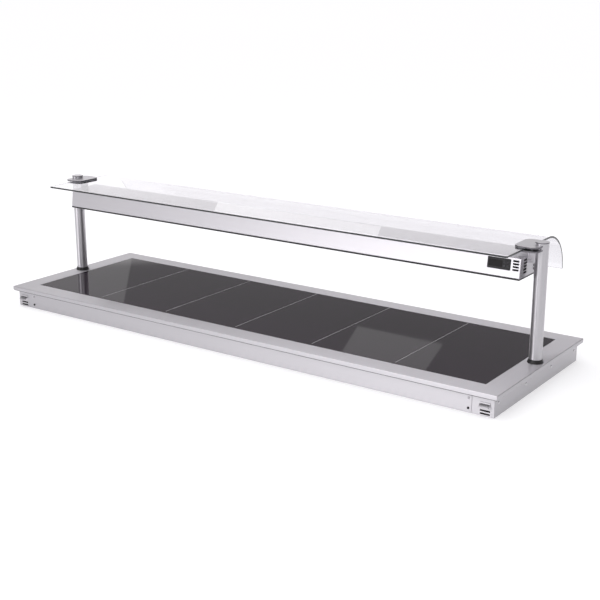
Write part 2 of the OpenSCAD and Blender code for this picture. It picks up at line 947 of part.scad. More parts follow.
module gantry_housing() {
    half = gantry_l / 2 - gantry_t;
    through = gantry_t + 4 * cut;
    color(steel) difference() {
        along_x(-half, half) difference() {
            gantry_outline();
            gantry_outline(gantry_t);
            translate([post_y - gantry_bottom_w / 2 + hook_w, gantry_z - cut])
                square([gantry_bottom_w - 2 * hook_w, gantry_t + 2 * cut]);
        }
        on_fascia(face_x, face_up)
            translate([-face_w / 2 + face_rim, -2 * cut, -face_h / 2 + face_rim])
                cube([face_w - 2 * face_rim, through, face_h - 2 * face_rim]);
        for (i = [0 : fascia_slot_count - 1])
            on_fascia(gantry_l / 2 - fascia_slot_end, fascia_slot_up + i * fascia_slot_pitch)
                translate([-fascia_slot_l / 2, -2 * cut, -fascia_slot_h / 2])
                    cube([fascia_slot_l, through, fascia_slot_h]);
    }
}

module end_cap(s) {
    x0 = s > 0 ? gantry_l / 2 - gantry_t : -gantry_l / 2;
    x1 = x0 + gantry_t;
    bore_r = hanger_screw_r + screw_fit;
    color(steel) difference() {
        union() {
            along_x(x0, x1)
                gantry_outline();
            translate([s > 0 ? x0 - tab_l : x1, post_y + tab_y, gantry_z + gantry_t])
                cube([tab_l, tab_w, gantry_t]);
            translate([s > 0 ? x0 - end_screw_l : x1, post_y + tab_y, gantry_z + gantry_t])
                cube([end_screw_l, tab_w, tab_h]);
        }
        for (i = [0 : end_slot_count - 1])
            translate([
                x0 - cut,
                post_y - end_slot_y - end_slot_l / 2,
                gantry_z + end_slot_z + i * end_slot_pitch - end_slot_h / 2
            ])
                cube([gantry_t + 2 * cut, end_slot_l, end_slot_h]);
        for (sy = [-1, 1])
            bar_x(x0 - cut, x1 + cut, post_y + sy * hanger_screw_y, hanger_axis_z, bore_r);
        bar_x(x0 - cut, x1 + cut, post_y, hanger_axis_z, cable_r + screw_fit);
        end_screw_places(s)
            bar_x(-end_screw_l - cut, end_screw_l + cut, 0, 0, end_screw_r + thread_fit);
    }
}

module end_screw_places(s) {
    for (i = [0, 1])
        translate([s * gantry_l / 2, post_y + end_screw_y, gantry_z + end_screw_z + i * end_screw_pitch])
            children();
}

module end_cap_left() end_cap(-1);
module end_cap_right() end_cap(1);

module end_cap_screws() {
    color(dark) for (s = [-1, 1])
        end_screw_places(s)
            rotate([0, s * 90, 0])
                screw(end_screw_r, end_screw_l);
}

module reflector() {
    b = mirror_w / 2;
    t = mirror_top_w / 2;
    rim = gantry_bottom_w / 2 - gantry_t - mirror_rim_gap;
    z0 = gantry_z + gantry_t;
    color(bright) along_x(mirror_x0, mirror_x1)
        polygon([
            [post_y - rim, z0],
            [post_y - b, z0],
            [post_y - t, mirror_top - mirror_t],
            [post_y + t, mirror_top - mirror_t],
            [post_y + b, z0],
            [post_y + rim, z0],
            [post_y + rim, z0 + mirror_t],
            [post_y + b + mirror_t, z0 + mirror_t],
            [post_y + t + mirror_t / 2, mirror_top],
            [post_y - t - mirror_t / 2, mirror_top],
            [post_y - b - mirror_t, z0 + mirror_t],
            [post_y - rim, z0 + mirror_t]
        ]);
}

// The middle of lamp number i
function lamp_x(i) = mirror_x0 + (i + 0.5) * lamp_pitch;

module heat_lamps() {
    l = lamp_pitch - lamp_gap;
    color([0.95, 0.9, 0.85]) for (i = [0 : lamp_count - 1])
        bar_x(lamp_x(i) - l / 2, lamp_x(i) + l / 2, post_y, lamp_z, lamp_d / 2);
}

module lamp_holders() {
    l = lamp_pitch - lamp_gap;
    z0 = lamp_z - lamp_d / 2 - holder_below;
    color([0.95, 0.95, 0.93]) for (i = [0 : lamp_count - 1], s = [-1, 1]) difference() {
        translate([lamp_x(i) + s * (l - holder_t) / 2 - holder_t / 2, post_y - holder_w / 2, z0])
            cube([holder_t, holder_w, mirror_top - mirror_t - z0]);
        bar_x(lamp_x(i) - l / 2 - cut, lamp_x(i) + l / 2 + cut, post_y, lamp_z, lamp_d / 2 + lamp_fit);
    }
}

module lamp_guard() {
    rod_r = guard_h / 2 - rod_slack;
    inner_l = mirror_l - 2 * guard_margin;
    inner_w = gantry_bottom_w - 2 * guard_rim;
    mid = (mirror_x0 + mirror_x1) / 2;
    mid_z = (guard_z + gantry_z) / 2;
    count = floor(inner_l / rod_step);
    pitch = inner_l / count;
    color(dark) {
        difference() {
            slab(gantry_l, gantry_bottom_w, guard_z, gantry_z, post_y);
            translate([mid, 0, 0])
                slab(inner_l, inner_w, guard_z - cut, gantry_z + cut, post_y);
        }
        for (i = [1 : count - 1])
            translate([mid + (i - count / 2) * pitch, post_y - inner_w / 2 - rod_lap, mid_z])
                rotate([-90, 0, 0])
                    cylinder(h = inner_w + 2 * rod_lap, r = rod_r, $fn = 16);
    }
}

module control_cover() {
    x0 = mirror_x1 + cover_gap;
    x1 = gantry_l / 2 - gantry_t - cover_end;
    color(steel)
        translate([x0, post_y - gantry_bottom_w / 2 + cover_side, gantry_z + gantry_t])
            cube([x1 - x0, gantry_bottom_w - 2 * cover_side, gantry_t]);
}

module lamp_terminals() {
    color([0.9, 0.9, 0.85])
        translate([mirror_x1 + strip_in, post_y + strip_y, gantry_z + 2 * gantry_t])
            cube([strip_l, strip_w, strip_h]);
}

// Controller

// The middle of key number i, from the middle of the face
function key_at(i) = [key_x + (i % 2 - 0.5) * key_pitch_x, (i < 2 ? 0.5 : -0.5) * key_pitch_z];

module controller() {
    neck_w = face_w - 2 * face_rim - 2 * fit;
    neck_h = face_h - 2 * face_rim - 2 * fit;
    pocket = key_depth - key_rise + key_travel + fit;
    color(dark) on_fascia(face_x, face_up) difference() {
        union() {
            rotate([90, 0, 0])
                linear_extrude(face_t)
                    rounded(face_w, face_h, face_r);
            translate([-neck_w / 2, 0, -neck_h / 2])
                cube([neck_w, case_d, neck_h]);
        }
        translate([-face_w / 2 + display_in - fit / 2, -face_t - cut, -display_h / 2 - fit / 2])
            cube([display_w + fit, display_t + cut, display_h + fit]);
        for (i = [0 : 3])
            translate([key_at(i)[0] - key_w / 2 - fit, -face_t - cut, key_at(i)[1] - key_h / 2 - fit])
                cube([key_w + 2 * fit, cut + pocket, key_h + 2 * fit]);
    }
}

module display_window() {
    color([0.25, 0.05, 0.06]) on_fascia(face_x, face_up)
        translate([-face_w / 2 + display_in, -face_t, -display_h / 2])
            cube([display_w, display_t, display_h]);
}

module key(i) {
    color([0.3, 0.3, 0.32]) on_fascia(face_x, face_up)
        translate([key_at(i)[0] - key_w / 2, -face_t - key_rise, key_at(i)[1] - key_h / 2])
            cube([key_w, key_depth, key_h]);
}

module key_set() key(0);
module key_up() key(1);
module key_power() key(2);
module key_down() key(3);

flange_frame();
ceramic_glass();
zone_marks();
glass_seal();
bedding_tape();
flange_gasket();
body_pan();
access_panel();
panel_screws();
panel_locks();
air_hoods();
side_rivets();
heating_mats();
insulation_board();
carrier_tray();
limit_thermostats();
plate_probe();
terminal_block();
power_relays();
wiring_loom();
cable_gland();
gland_nut();
earth_stud();
post_left();
post_right();
collar_left();
collar_right();
post_plugs();
post_studs();
spreader_plates();
stud_nuts();
cap_left();
cap_right();
riser_cable();
lower_clamp_left();
lower_clamp_right();
upper_clamp_left();
upper_clamp_right();
clamp_pads();
clamp_screws();
glass_shelf();
hanger_left();
hanger_right();
hanger_screws();
gantry_housing();
end_cap_left();
end_cap_right();
end_cap_screws();
reflector();
heat_lamps();
lamp_holders();
lamp_guard();
control_cover();
lamp_terminals();
controller();
display_window();
key_set();
key_up();
key_down();
key_power();
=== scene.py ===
"""The looks of a drop-in hot plate with a heated gantry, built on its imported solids."""

import math
from contextlib import contextmanager
from itertools import product

import bmesh
import bpy
from bpy.props import FloatProperty, FloatVectorProperty, PointerProperty
from bpy.types import Operator, Panel, PropertyGroup
from mathutils import Matrix, Vector


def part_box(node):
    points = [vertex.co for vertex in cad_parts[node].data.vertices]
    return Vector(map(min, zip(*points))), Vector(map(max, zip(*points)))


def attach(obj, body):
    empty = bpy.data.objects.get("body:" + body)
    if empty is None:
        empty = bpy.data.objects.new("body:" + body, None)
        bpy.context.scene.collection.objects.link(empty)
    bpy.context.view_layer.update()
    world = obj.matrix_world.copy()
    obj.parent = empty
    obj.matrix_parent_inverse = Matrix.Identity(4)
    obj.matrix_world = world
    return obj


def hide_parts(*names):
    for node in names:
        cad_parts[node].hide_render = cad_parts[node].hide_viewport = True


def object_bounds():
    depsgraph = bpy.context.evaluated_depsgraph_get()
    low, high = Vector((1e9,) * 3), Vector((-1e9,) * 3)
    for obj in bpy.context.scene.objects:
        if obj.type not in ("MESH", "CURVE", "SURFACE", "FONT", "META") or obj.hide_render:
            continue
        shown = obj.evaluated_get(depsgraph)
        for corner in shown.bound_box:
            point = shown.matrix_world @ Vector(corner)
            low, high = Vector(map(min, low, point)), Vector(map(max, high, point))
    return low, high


bl_info = {
    "name": "Drop-in hot plate",
    "version": (1, 0, 0),
    "blender": (4, 5, 0),
    "location": "3D View > Sidebar > Hot plate",
    "description": "Dresses the solids of a drop-in hot plate with its gantry and glass shelf",
    "category": "Object",
}

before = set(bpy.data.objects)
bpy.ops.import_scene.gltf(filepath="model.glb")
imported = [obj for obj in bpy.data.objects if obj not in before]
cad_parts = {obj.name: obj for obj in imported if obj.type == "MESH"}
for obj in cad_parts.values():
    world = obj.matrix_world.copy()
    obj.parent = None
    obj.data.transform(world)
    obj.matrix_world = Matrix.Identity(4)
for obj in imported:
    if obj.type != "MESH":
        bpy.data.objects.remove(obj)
SOLIDS_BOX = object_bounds()
MM = 0.001


def linear(code):
    """Turns an sRGB hex colour into the linear values that a shader takes."""
    parts = [int(code[i : i + 2], 16) / 255 for i in (1, 3, 5)]
    return [p / 12.92 if p <= 0.04045 else ((p + 0.055) / 1.055) ** 2.4 for p in parts]


def length(name, description, millimetres):
    return FloatProperty(
        name=name,
        description=description,
        default=millimetres * MM,
        min=0,
        unit="LENGTH",
        subtype="DISTANCE",
        precision=4,
    )


def colour(name, description, code):
    return FloatVectorProperty(
        name=name,
        description=description,
        default=linear(code),
        min=0,
        max=1,
        size=3,
        subtype="COLOR",
    )


class SheetMetal(PropertyGroup):
    flange_t: length("Flange sheet", "Thickness of the flange's sheet", 1.5)
    body_t: length("Body sheet", "Thickness of the body's sheet", 1.2)
    gantry_t: length("Gantry sheet", "Thickness of the gantry's sheet", 1.2)
    fold_r: length("Fold radius", "Outer radius of a folded edge", 2)
    corner_r: length("Flange corner", "Radius of the flange's corners, from above", 3)
    return_w: length("Return", "Width of the return under the flange's lip", 12)
    ledge_w: length("Ledge", "Width of the ledge that carries the plate", 14)
    slot_l: length("Air slot length", "Length of the body's air slots", 34)
    slot_h: length("Air slot height", "Height of the body's air slots", 5.5)
    lean: length("Lean", "How far the gantry's front leans out from its top to its foot", 9)
    hook_w: length("Hook", "Width of the fold under the gantry's front and back", 11)
    broken_edge: length("Broken edge", "Width of the bevel on a cut edge", 0.4)


class GlassShelf(PropertyGroup):
    thickness: length("Thickness", "Thickness of the glass", 6)
    corner_r: length("Corner", "Radius of the shelf's front corners", 6)
    arris: length("Arris", "Width of the polished arris", 0.8)
    bend_r: length("Bend", "Middle radius of the bend at the back", 126)
    tail: length("Tail", "Straight end after the bend", 4)


class Fittings(PropertyGroup):
    tube_wall: length("Tube wall", "Wall of a post", 2)
    cap_h: length("Cap", "Height of a cap over its post", 3.5)
    clamp_r: length("Clamp corner", "Corner radius of a clamp plate", 24)
    face_w: length("Controller width", "Width of the controller's face", 78)
    face_h: length("Controller height", "Height of the controller's face", 36)
    face_t: length("Controller rim", "How far the controller stands out of the fascia", 3)
    face_up: length("Controller place", "Middle of the controller, up the fascia", 41)
    window_w: length("Window width", "Width of the display window", 46)
    window_h: length("Window height", "Height of the display window", 22)
    key_w: length("Key width", "Width of a key", 7)
    key_h: length("Key height", "Height of a key", 6)
    bezel_edge: length("Bezel edge", "Moulded edge of the controller", 1)
    key_edge: length("Key edge", "Moulded edge of a key", 0.7)


class Finishes(PropertyGroup):
    steel: colour("Stainless", "Brushed stainless steel", "#c9c7cb")
    fine: colour("Gantry sheet", "Fine-ground stainless steel", "#cdcbcf")
    bright: colour("Tube", "Polished stainless tube", "#d5d3d7")
    # The cut edge colour is grey oxide, darkened further as a painted dark reflection
    cut_edge_and_painted_reflection: colour("Cut edge and painted reflection", "Laser-cut edge of a steel plate, darkened as painted reflection", "#77757a")
    glass_edge: colour("Glass edge", "Ground edge of the glass shelf", "#3c3f40")
    plate: colour("Glass-ceramic", "Body colour of the black plate", "#1e131f")
    print_ink: colour("Print", "Enamel of the zone marks", "#a9a7a9")
    moulding: colour("Moulding", "Black moulded plastic", "#1b1a1c")


class Studio(PropertyGroup):
    key_power: FloatProperty(
        name="Key light", description="Power of the large softbox", default=30, min=0, unit="POWER"
    )
    side_power: FloatProperty(
        name="Side light", description="Power of the left softbox", default=7.5, min=0, unit="POWER"
    )
    fill_power: FloatProperty(
        name="Fill light", description="Power of the front softbox", default=12, min=0, unit="POWER"
    )


# Modelling


def begin():
    """Deselects everything, so that the next operator acts on one piece alone."""
    bpy.ops.object.select_all(action="DESELECT")


def choose(piece):
    begin()
    bpy.context.view_layer.objects.active = piece
    piece.select_set(True)


def settle(piece, name):
    """Names a new piece and puts its place into its mesh."""
    choose(piece)
    bpy.ops.object.transform_apply(location=True, rotation=True, scale=True)
    piece.name = piece.data.name = name
    return piece


def block(name, low, high):
    """A box from its lowest to its highest corner."""
    begin()
    bpy.ops.mesh.primitive_cube_add(size=1, location=(Vector(low) + Vector(high)) / 2)
    piece = bpy.context.object
    piece.scale = Vector(high) - Vector(low)
    return settle(piece, name)


def sheet(name, low, high):
    """A flat face between two corners, at the height of the first."""
    begin()
    middle = (Vector(low) + Vector(high)) / 2
    bpy.ops.mesh.primitive_plane_add(size=1, location=(middle.x, middle.y, low[2]))
    piece = bpy.context.object
    piece.scale = (high[0] - low[0], high[1] - low[1], 1)
    return settle(piece, name)


def drum(name, place, radius, z0, z1, sides=96, ends="NGON"):
    """A round bar or open tube that stands on z0."""
    begin()
    bpy.ops.mesh.primitive_cylinder_add(
        vertices=sides,
        radius=radius,
        depth=z1 - z0,
        end_fill_type=ends,
        location=(place[0], place[1], (z0 + z1) / 2),
    )
    return settle(bpy.context.object, name)


def drill(radius, z0, z1, place, turn, axis, sides):
    """A cutter for a level hole: a round bar drawn upright at the origin, then laid down."""
    hole = drum("hole", (0, 0), radius, z0, z1, sides)
    hole.matrix_world = Matrix.Translation(place) @ Matrix.Rotation(turn, 4, axis)
    return settle(hole, "hole")


@contextmanager
def shaping(piece):
    """Opens a piece in edit mode."""
    choose(piece)
    bpy.ops.object.mode_set(mode="EDIT")
    try:
        yield
    finally:
        bpy.ops.object.mode_set(mode="OBJECT")


def middle_of(part):
    corners = [part] if isinstance(part, bmesh.types.BMVert) else part.verts
    return sum((v.co for v in corners), Vector()) / len(corners)


def pick(piece, kind, test):
    """Selects the vertices, edges or faces that pass a test of the part and its middle."""
    bpy.ops.mesh.select_mode(type=kind)
    bpy.ops.mesh.select_all(action="DESELECT")
    mesh = bmesh.from_edit_mesh(piece.data)
    found = [
        part
        for part in {"VERT": mesh.verts, "EDGE": mesh.edges, "FACE": mesh.faces}[kind]
        if test(part, middle_of(part))
    ]
    if not found:
        raise RuntimeError(f"nothing to pick on {piece.name}")
    for part in found:
        part.select_set(True)
    bmesh.update_edit_mesh(piece.data)


def near(a, b):
    return abs(a - b) < 0.02 * MM


def centre(node):
    """The middle of a solid's box."""
    low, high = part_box(node)
    return (low + high) / 2


def pull(move=(0, 0, 0), stretch=None, about=None):
    """Extrudes the selected edges, then moves or stretches what is new."""
    bpy.ops.mesh.extrude_edges_move(TRANSFORM_OT_translate={"value": move})
    if stretch:
        bpy.ops.transform.resize(value=stretch, center_override=about)


def round_edges(piece, radius, segments, test):
    """Rounds the edges that pass a test, in edit mode."""
    pick(piece, "EDGE", test)
    bpy.ops.mesh.bevel(offset=radius, segments=segments, affect="EDGES")


def round_corners(piece, axis, radius, segments=3):
    """Rounds the edges of a block that run along an axis: 0 is X, 1 is Y and 2 is Z."""
    places = [v.co[axis] for v in piece.data.vertices]
    middle = (min(places) + max(places)) / 2
    with shaping(piece):
        round_edges(piece, radius, segments, lambda e, m: near(m[axis], middle))


def rim_at(y):
    """A test for the sharp edges round an upright face."""
    return lambda e, m: near(m.y, y) and e.calc_face_angle(0) > 1


def turn_face_up(piece):
    """Turns an open sheet over if its largest face points down."""
    mesh = bmesh.from_edit_mesh(piece.data)
    if max(mesh.faces, key=lambda f: f.calc_area()).normal.z < 0:
        bpy.ops.mesh.select_all(action="SELECT")
        bpy.ops.mesh.flip_normals()


def modify(piece, kind, **settings):
    """Adds a modifier and applies it."""
    choose(piece)
    modifier = piece.modifiers.new(kind.title(), kind)
    for name, value in settings.items():
        setattr(modifier, name, value)
    bpy.ops.object.modifier_apply(modifier=modifier.name)


def thicken(piece, thickness, offset=-1):
    """Gives a surface its thickness, behind its face unless told otherwise."""
    modify(piece, "SOLIDIFY", thickness=thickness, offset=offset, use_even_offset=True)


def cut_out(piece, cutters):
    """Takes the cutters out of a piece and removes them."""
    cutter = fuse(cutters)
    modify(piece, "BOOLEAN", operation="DIFFERENCE", solver="EXACT", object=cutter)
    bpy.data.objects.remove(cutter)


def fuse(pieces):
    """Joins pieces into the first one."""
    choose(pieces[0])
    for piece in pieces[1:]:
        piece.select_set(True)
    if len(pieces) > 1:
        bpy.ops.object.join()
    return pieces[0]


def break_edges(piece, width, segments=2, angle=30):
    """Rounds the cut edges of a piece."""
    modify(
        piece,
        "BEVEL",
        width=width,
        segments=segments,
        limit_method="ANGLE",
        angle_limit=math.radians(angle),
        use_clamp_overlap=True,
    )


def finish_edges(piece, surface, test):
    """Gives the faces that pass a test of the face and its middle a second material."""
    piece.data.materials.append(bpy.data.materials[surface])
    for face in piece.data.polygons:
        if test(face, face.center):
            face.material_index = 1


def dress(piece, surface, nodes=(), body="hot_plate", angle=35):
    """Smooths a finished piece, gives it its material and seats it on the frame."""
    choose(piece)
    bpy.ops.object.shade_smooth_by_angle(angle=math.radians(angle))
    modify(piece, "WEIGHTED_NORMAL", keep_sharp=True, weight=100)
    piece.data.materials.clear()
    piece.data.materials.append(bpy.data.materials[surface])
    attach(piece, body)
    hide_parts(*nodes)
    low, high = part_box(nodes[0]) if nodes else SOLIDS_BOX
    for n in nodes[1:]:
        a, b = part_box(n)
        low, high = Vector(map(min, low, a)), Vector(map(max, high, b))
    for v in piece.data.vertices:
        for i in range(3):
            if not low[i] - 0.3 * MM <= v.co[i] <= high[i] + 0.3 * MM:
                raise RuntimeError(f"{piece.name} leaves the box of its solid at {v.co}")
    return piece


# Materials


def add(tree, kind, settings=None, links=None):
    """Adds a node with its settings, its socket values and its links."""
    node = tree.nodes.new("ShaderNode" + kind)
    for name, value in (settings or {}).items():
        if isinstance(name, int) or name in node.inputs.keys():
            node.inputs[name].default_value = value
        else:
            setattr(node, name, value)
    for name, source in (links or {}).items():
        tree.links.new(source, node.inputs[name])
    return node


def new_surface(name, sockets):
    """A material with its shader, and the Object coordinates that its pattern reads."""
    surface = bpy.data.materials.new(name)
    surface.use_nodes = True
    tree = surface.node_tree
    tree.nodes.clear()
    shader = add(tree, "BsdfPrincipled", sockets)
    add(tree, "OutputMaterial", None, {"Surface": shader.outputs["BSDF"]})
    return tree, shader, add(tree, "TexCoord").outputs


def shaded(base, factor):
    return [min(1, c * factor) for c in base]


def brushed_metal(name, base, streak, rough, relief, spread, ringed=False):
    """Belt-ground metal: long fine scratches that spread a reflection across them. streak is the
    size of a scratch in mm along X, Y and Z, drawn coarser than the real 0.05 mm so that it
    shows, with broad faint bands 15 times as large. The scratches run along the length of flat
    sheets and level on upright ones, or in rings round a tube."""
    tree, shader, place = new_surface(name, {"Metallic": 1, "Anisotropic": spread})
    shader.inputs["Anisotropic Rotation"].default_value = 0.25
    fine, band = (
        add(
            tree,
            "TexNoise",
            {"Scale": 1, "Detail": 3},
            {
                "Vector": add(
                    tree,
                    "Mapping",
                    {"Scale": [1000 / (size * times) for size in streak]},
                    {"Vector": place["Object"]},
                ).outputs[0]
            },
        ).outputs[0]
        for times in (1, 15)
    )
    both = add(tree, "Math", {"operation": "ADD"}, {0: fine, 1: band}).outputs[0]
    even = add(
        tree, "MapRange", {"From Min": 0.7, "From Max": 1.3}, {"Value": both}
    ).outputs[0]
    tint = add(
        tree,
        "Mix",
        {"data_type": "RGBA", 6: (*shaded(base, 0.985), 1), 7: (*shaded(base, 1.012), 1)},
        {"Factor": even},
    )
    gloss = add(tree, "MapRange", {"To Min": rough[0], "To Max": rough[1]}, {"Value": even})
    bump = add(tree, "Bump", {"Strength": 1, "Distance": relief * MM}, {"Height": fine})
    tree.links.new(tint.outputs[2], shader.inputs["Base Color"])
    tree.links.new(gloss.outputs[0], shader.inputs["Roughness"])
    tree.links.new(bump.outputs[0], shader.inputs["Normal"])
    if not ringed:
        across = add(
            tree,
            "VectorMath",
            {"operation": "CROSS_PRODUCT", 1: (0, 0, 1)},
            {0: place["Normal"]},
        ).outputs[0]
        along = add(tree, "VectorMath", {"operation": "ADD", 1: (0.5, 0, 0)}, {0: across})
        tree.links.new(along.outputs[0], shader.inputs["Tangent"])


def grained(name, first, second, rough, grain, relief, sockets=None, pattern="TexNoise"):
    """A surface whose colour, gloss and relief follow one grain, whose size is in mm."""
    tree, shader, place = new_surface(name, sockets)
    sizes = grain if isinstance(grain, tuple) else (grain,) * 3
    spread = add(
        tree, "Mapping", {"Scale": [1000 / s for s in sizes]}, {"Vector": place["Object"]}
    )
    source = add(tree, pattern, {"Scale": 1}, {"Vector": spread.outputs[0]}).outputs[0]
    tint = add(
        tree, "Mix", {"data_type": "RGBA", 6: (*first, 1), 7: (*second, 1)}, {"Factor": source}
    )
    gloss = add(
        tree,
        "MapRange",
        {"From Min": 0.25, "From Max": 0.75, "To Min": rough[0], "To Max": rough[1]},
        {"Value": source},
    )
    bump = add(tree, "Bump", {"Strength": 1, "Distance": relief * MM}, {"Height": source})
    tree.links.new(tint.outputs[2], shader.inputs["Base Color"])
    tree.links.new(gloss.outputs[0], shader.inputs["Roughness"])
    tree.links.new(bump.outputs[0], shader.inputs["Normal"])


class Surfaces(Operator):
    """Makes the materials of the hot plate from their real finishes"""

    bl_idname = "hot_plate.surfaces"
    bl_label = "Materials"

    def execute(self, context):
        f = context.scene.hot_plate_finishes
        # Belt-ground sheet: satin, with faint bands along the counter
        brushed_metal("brushed stainless", f.steel, (90, 0.7, 0.7), (0.4, 0.43), 0.0001, 0.9)
        # The gantry's sheet is ground finer, and mirrors the room more closely
        brushed_metal("fine-ground stainless", f.fine, (90, 0.7, 0.7), (0.3, 0.33), 0.0001, 0.8)
        # Round tube ground in fine rings and then polished: its highlights run up the tube
        brushed_metal(
            "polished stainless tube", f.bright, (8, 8, 0.6), (0.4, 0.43), 0.0001, 0.92, True
        )
        # Laser-cut plate, tumbled: an even satin face
        brushed_metal("satin stainless plate", f.steel, (3, 3, 3), (0.3, 0.36), 0.0004, 0)
        # The cut edge of that plate: ridged by the laser and left grey with oxide, and darkened
        # further as a painted dark reflection of the black plate below
        brushed_metal("laser-cut edge with painted dark reflection", f.cut_edge_and_painted_reflection, (0.6, 0.6, 8), (0.4, 0.5), 0.002, 0)
        # Anodised reflector sheet: mirror-like with rolling lines
        brushed_metal(
            "bright anodised aluminium", linear("#dedee0"), (90, 2, 2), (0.08, 0.16), 0.001, 0.3
        )
        # Glass-ceramic: black through and through, fire-polished, with a faint waviness
        grained(
            "black glass-ceramic", f.plate, shaded(f.plate, 1.25), (0.012, 0.028), 400, 0.002,
            {"IOR": 1.53},
        )
        # Enamel print on the plate, slightly rough and broken at the grain of the screen
        grained("grey enamel print", f.print_ink, shaded(f.print_ink, 0.8), (0.4, 0.55), 1.5, 0.01)
        # Neutral-cure silicone: rubbery black with a soft gloss
        grained(
            "black silicone joint", linear("#131214"), linear("#1c1b1d"), (0.35, 0.5), 6, 0.05
        )
        # Foam rubber under the lip: dull and open-celled
        grained(
            "black foam gasket", linear("#19181a"), linear("#262527"), (0.8, 0.95), 1.2, 0.15
        )
        # Glass-filled nylon, moulded, with a fine spark texture
        grained(
            "black moulded nylon", f.moulding, shaded(f.moulding, 1.5), (0.38, 0.52), 0.8, 0.01
        )
        # Controller housing: smooth-moulded black plastic, a touch greyer than the collars
        grained(
            "black moulded bezel", linear("#201f21"), linear("#272628"), (0.45, 0.55), 0.6, 0.006
        )
        # Tinted acrylic window, glossy and very dark
        grained(
            "tinted acrylic window", linear("#0c0809"), linear("#120b0d"), (0.3, 0.36), 20, 0.002,
            {"IOR": 1.49, "Specular IOR Level": 0.25},
        )
        # Silicone rubber keys, matt grey
        grained(
            "grey silicone keys", linear("#3c3b3e"), linear("#464548"), (0.5, 0.62), 0.7, 0.008
        )
        # Black oxide on a screw: dark, with worn brighter spots
        grained(
            "black oxide screws", linear("#1c1b1d"), linear("#3a393b"), (0.3, 0.5), 0.8, 0.01,
            {"Metallic": 0.8},
        )
        # Stainless screws and studs, turned bright
        grained(
            "bright stainless fasteners", linear("#b9b7ba"), linear("#cfcdd0"), (0.18, 0.3), 0.8,
            0.004, {"Metallic": 1},
        )
        # Hot-dip galvanised sheet with its spangle of zinc crystals
        grained(
            "galvanised steel", linear("#a3a8ab"), linear("#c2c6c8"), (0.3, 0.55), 14, 0.01,
            {"Metallic": 1}, "TexVoronoi",
        )
        # Pressed mineral fibre board: pale, dusty and fibrous
        grained(
            "mineral fibre board", linear("#d9d3c3"), linear("#b9b19d"), (0.9, 1), (8, 2, 2), 0.4
        )
        # Glass-cloth silicone heating mat with its woven face
        grained(
            "silicone heating mat", linear("#a8492f"), linear("#8c3924"), (0.55, 0.7), 1.4, 0.06,
            None, "TexVoronoi",
        )
        # Steatite ceramic: glazed off-white
        grained(
            "glazed steatite", linear("#ece9e2"), linear("#dfdbd2"), (0.2, 0.3), 4, 0.01,
            {"Coat Weight": 0.4},
        )
        # Moulded terminal plastic, off-white and matt
        grained(
            "white terminal plastic", linear("#e2dfd6"), linear("#d5d1c6"), (0.45, 0.6), 1, 0.01
        )
        # Relay housings, dark grey plastic
        grained(
            "grey relay housing", linear("#3a393c"), linear("#454447"), (0.4, 0.5), 1, 0.008
        )
        # Cable jackets: black heat-proof silicone
        grained(
            "black cable jacket", linear("#161517"), linear("#222123"), (0.45, 0.6), 3, 0.02
        )
        # Woven glass tape under the plate
        grained(
            "woven glass tape", linear("#d6d3c8"), linear("#c2beb1"), (0.75, 0.9), 1.2, 0.1,
            None, "TexVoronoi",
        )
        # Turned brass stud, slightly tarnished
        grained(
            "tarnished brass", linear("#b8954a"), linear("#9c7c3c"), (0.22, 0.4), 2, 0.004,
            {"Metallic": 1},
        )
        # Clear vinyl pads between glass and steel, frosted by the pressure
        grained(
            "clear vinyl pads", linear("#c9c9cd"), linear("#bcbcc1"), (0.25, 0.35), 4, 0.01,
            {"Transmission Weight": 0.5},
        )
        # Powder coat on the guard's frame and rods, with its fine orange peel
        grained(
            "black powder coat", linear("#1d1c1e"), linear("#262527"), (0.4, 0.52), 1.6, 0.02
        )
        # Toughened float glass: clear, a faint cool grey, with the slight roller wave that
        # toughening leaves, about 300 mm from crest to crest
        grained(
            "toughened float glass", linear("#f3f2f5"), linear("#efeef1"), (0, 0.005), 300, 0.008,
            {"Transmission Weight": 1, "IOR": 1.52},
        )
        # The edge of that glass, ground and polished: dark, because light has come through the
        # whole width of the sheet
        grained(
            "polished glass edge", f.glass_edge, shaded(f.glass_edge, 0.9), (0.08, 0.12), 40,
            0.002, {"Transmission Weight": 0.4, "IOR": 1.52},
        )
        # Fused quartz of a heat lamp: clear, with faint drawing lines along the tube
        grained(
            "fused quartz", linear("#f7f3ee"), linear("#ece6df"), (0.03, 0.1), (80, 1, 1), 0.002,
            {"Transmission Weight": 0.9, "IOR": 1.46},
        )
        return {"FINISHED"}


# Pieces


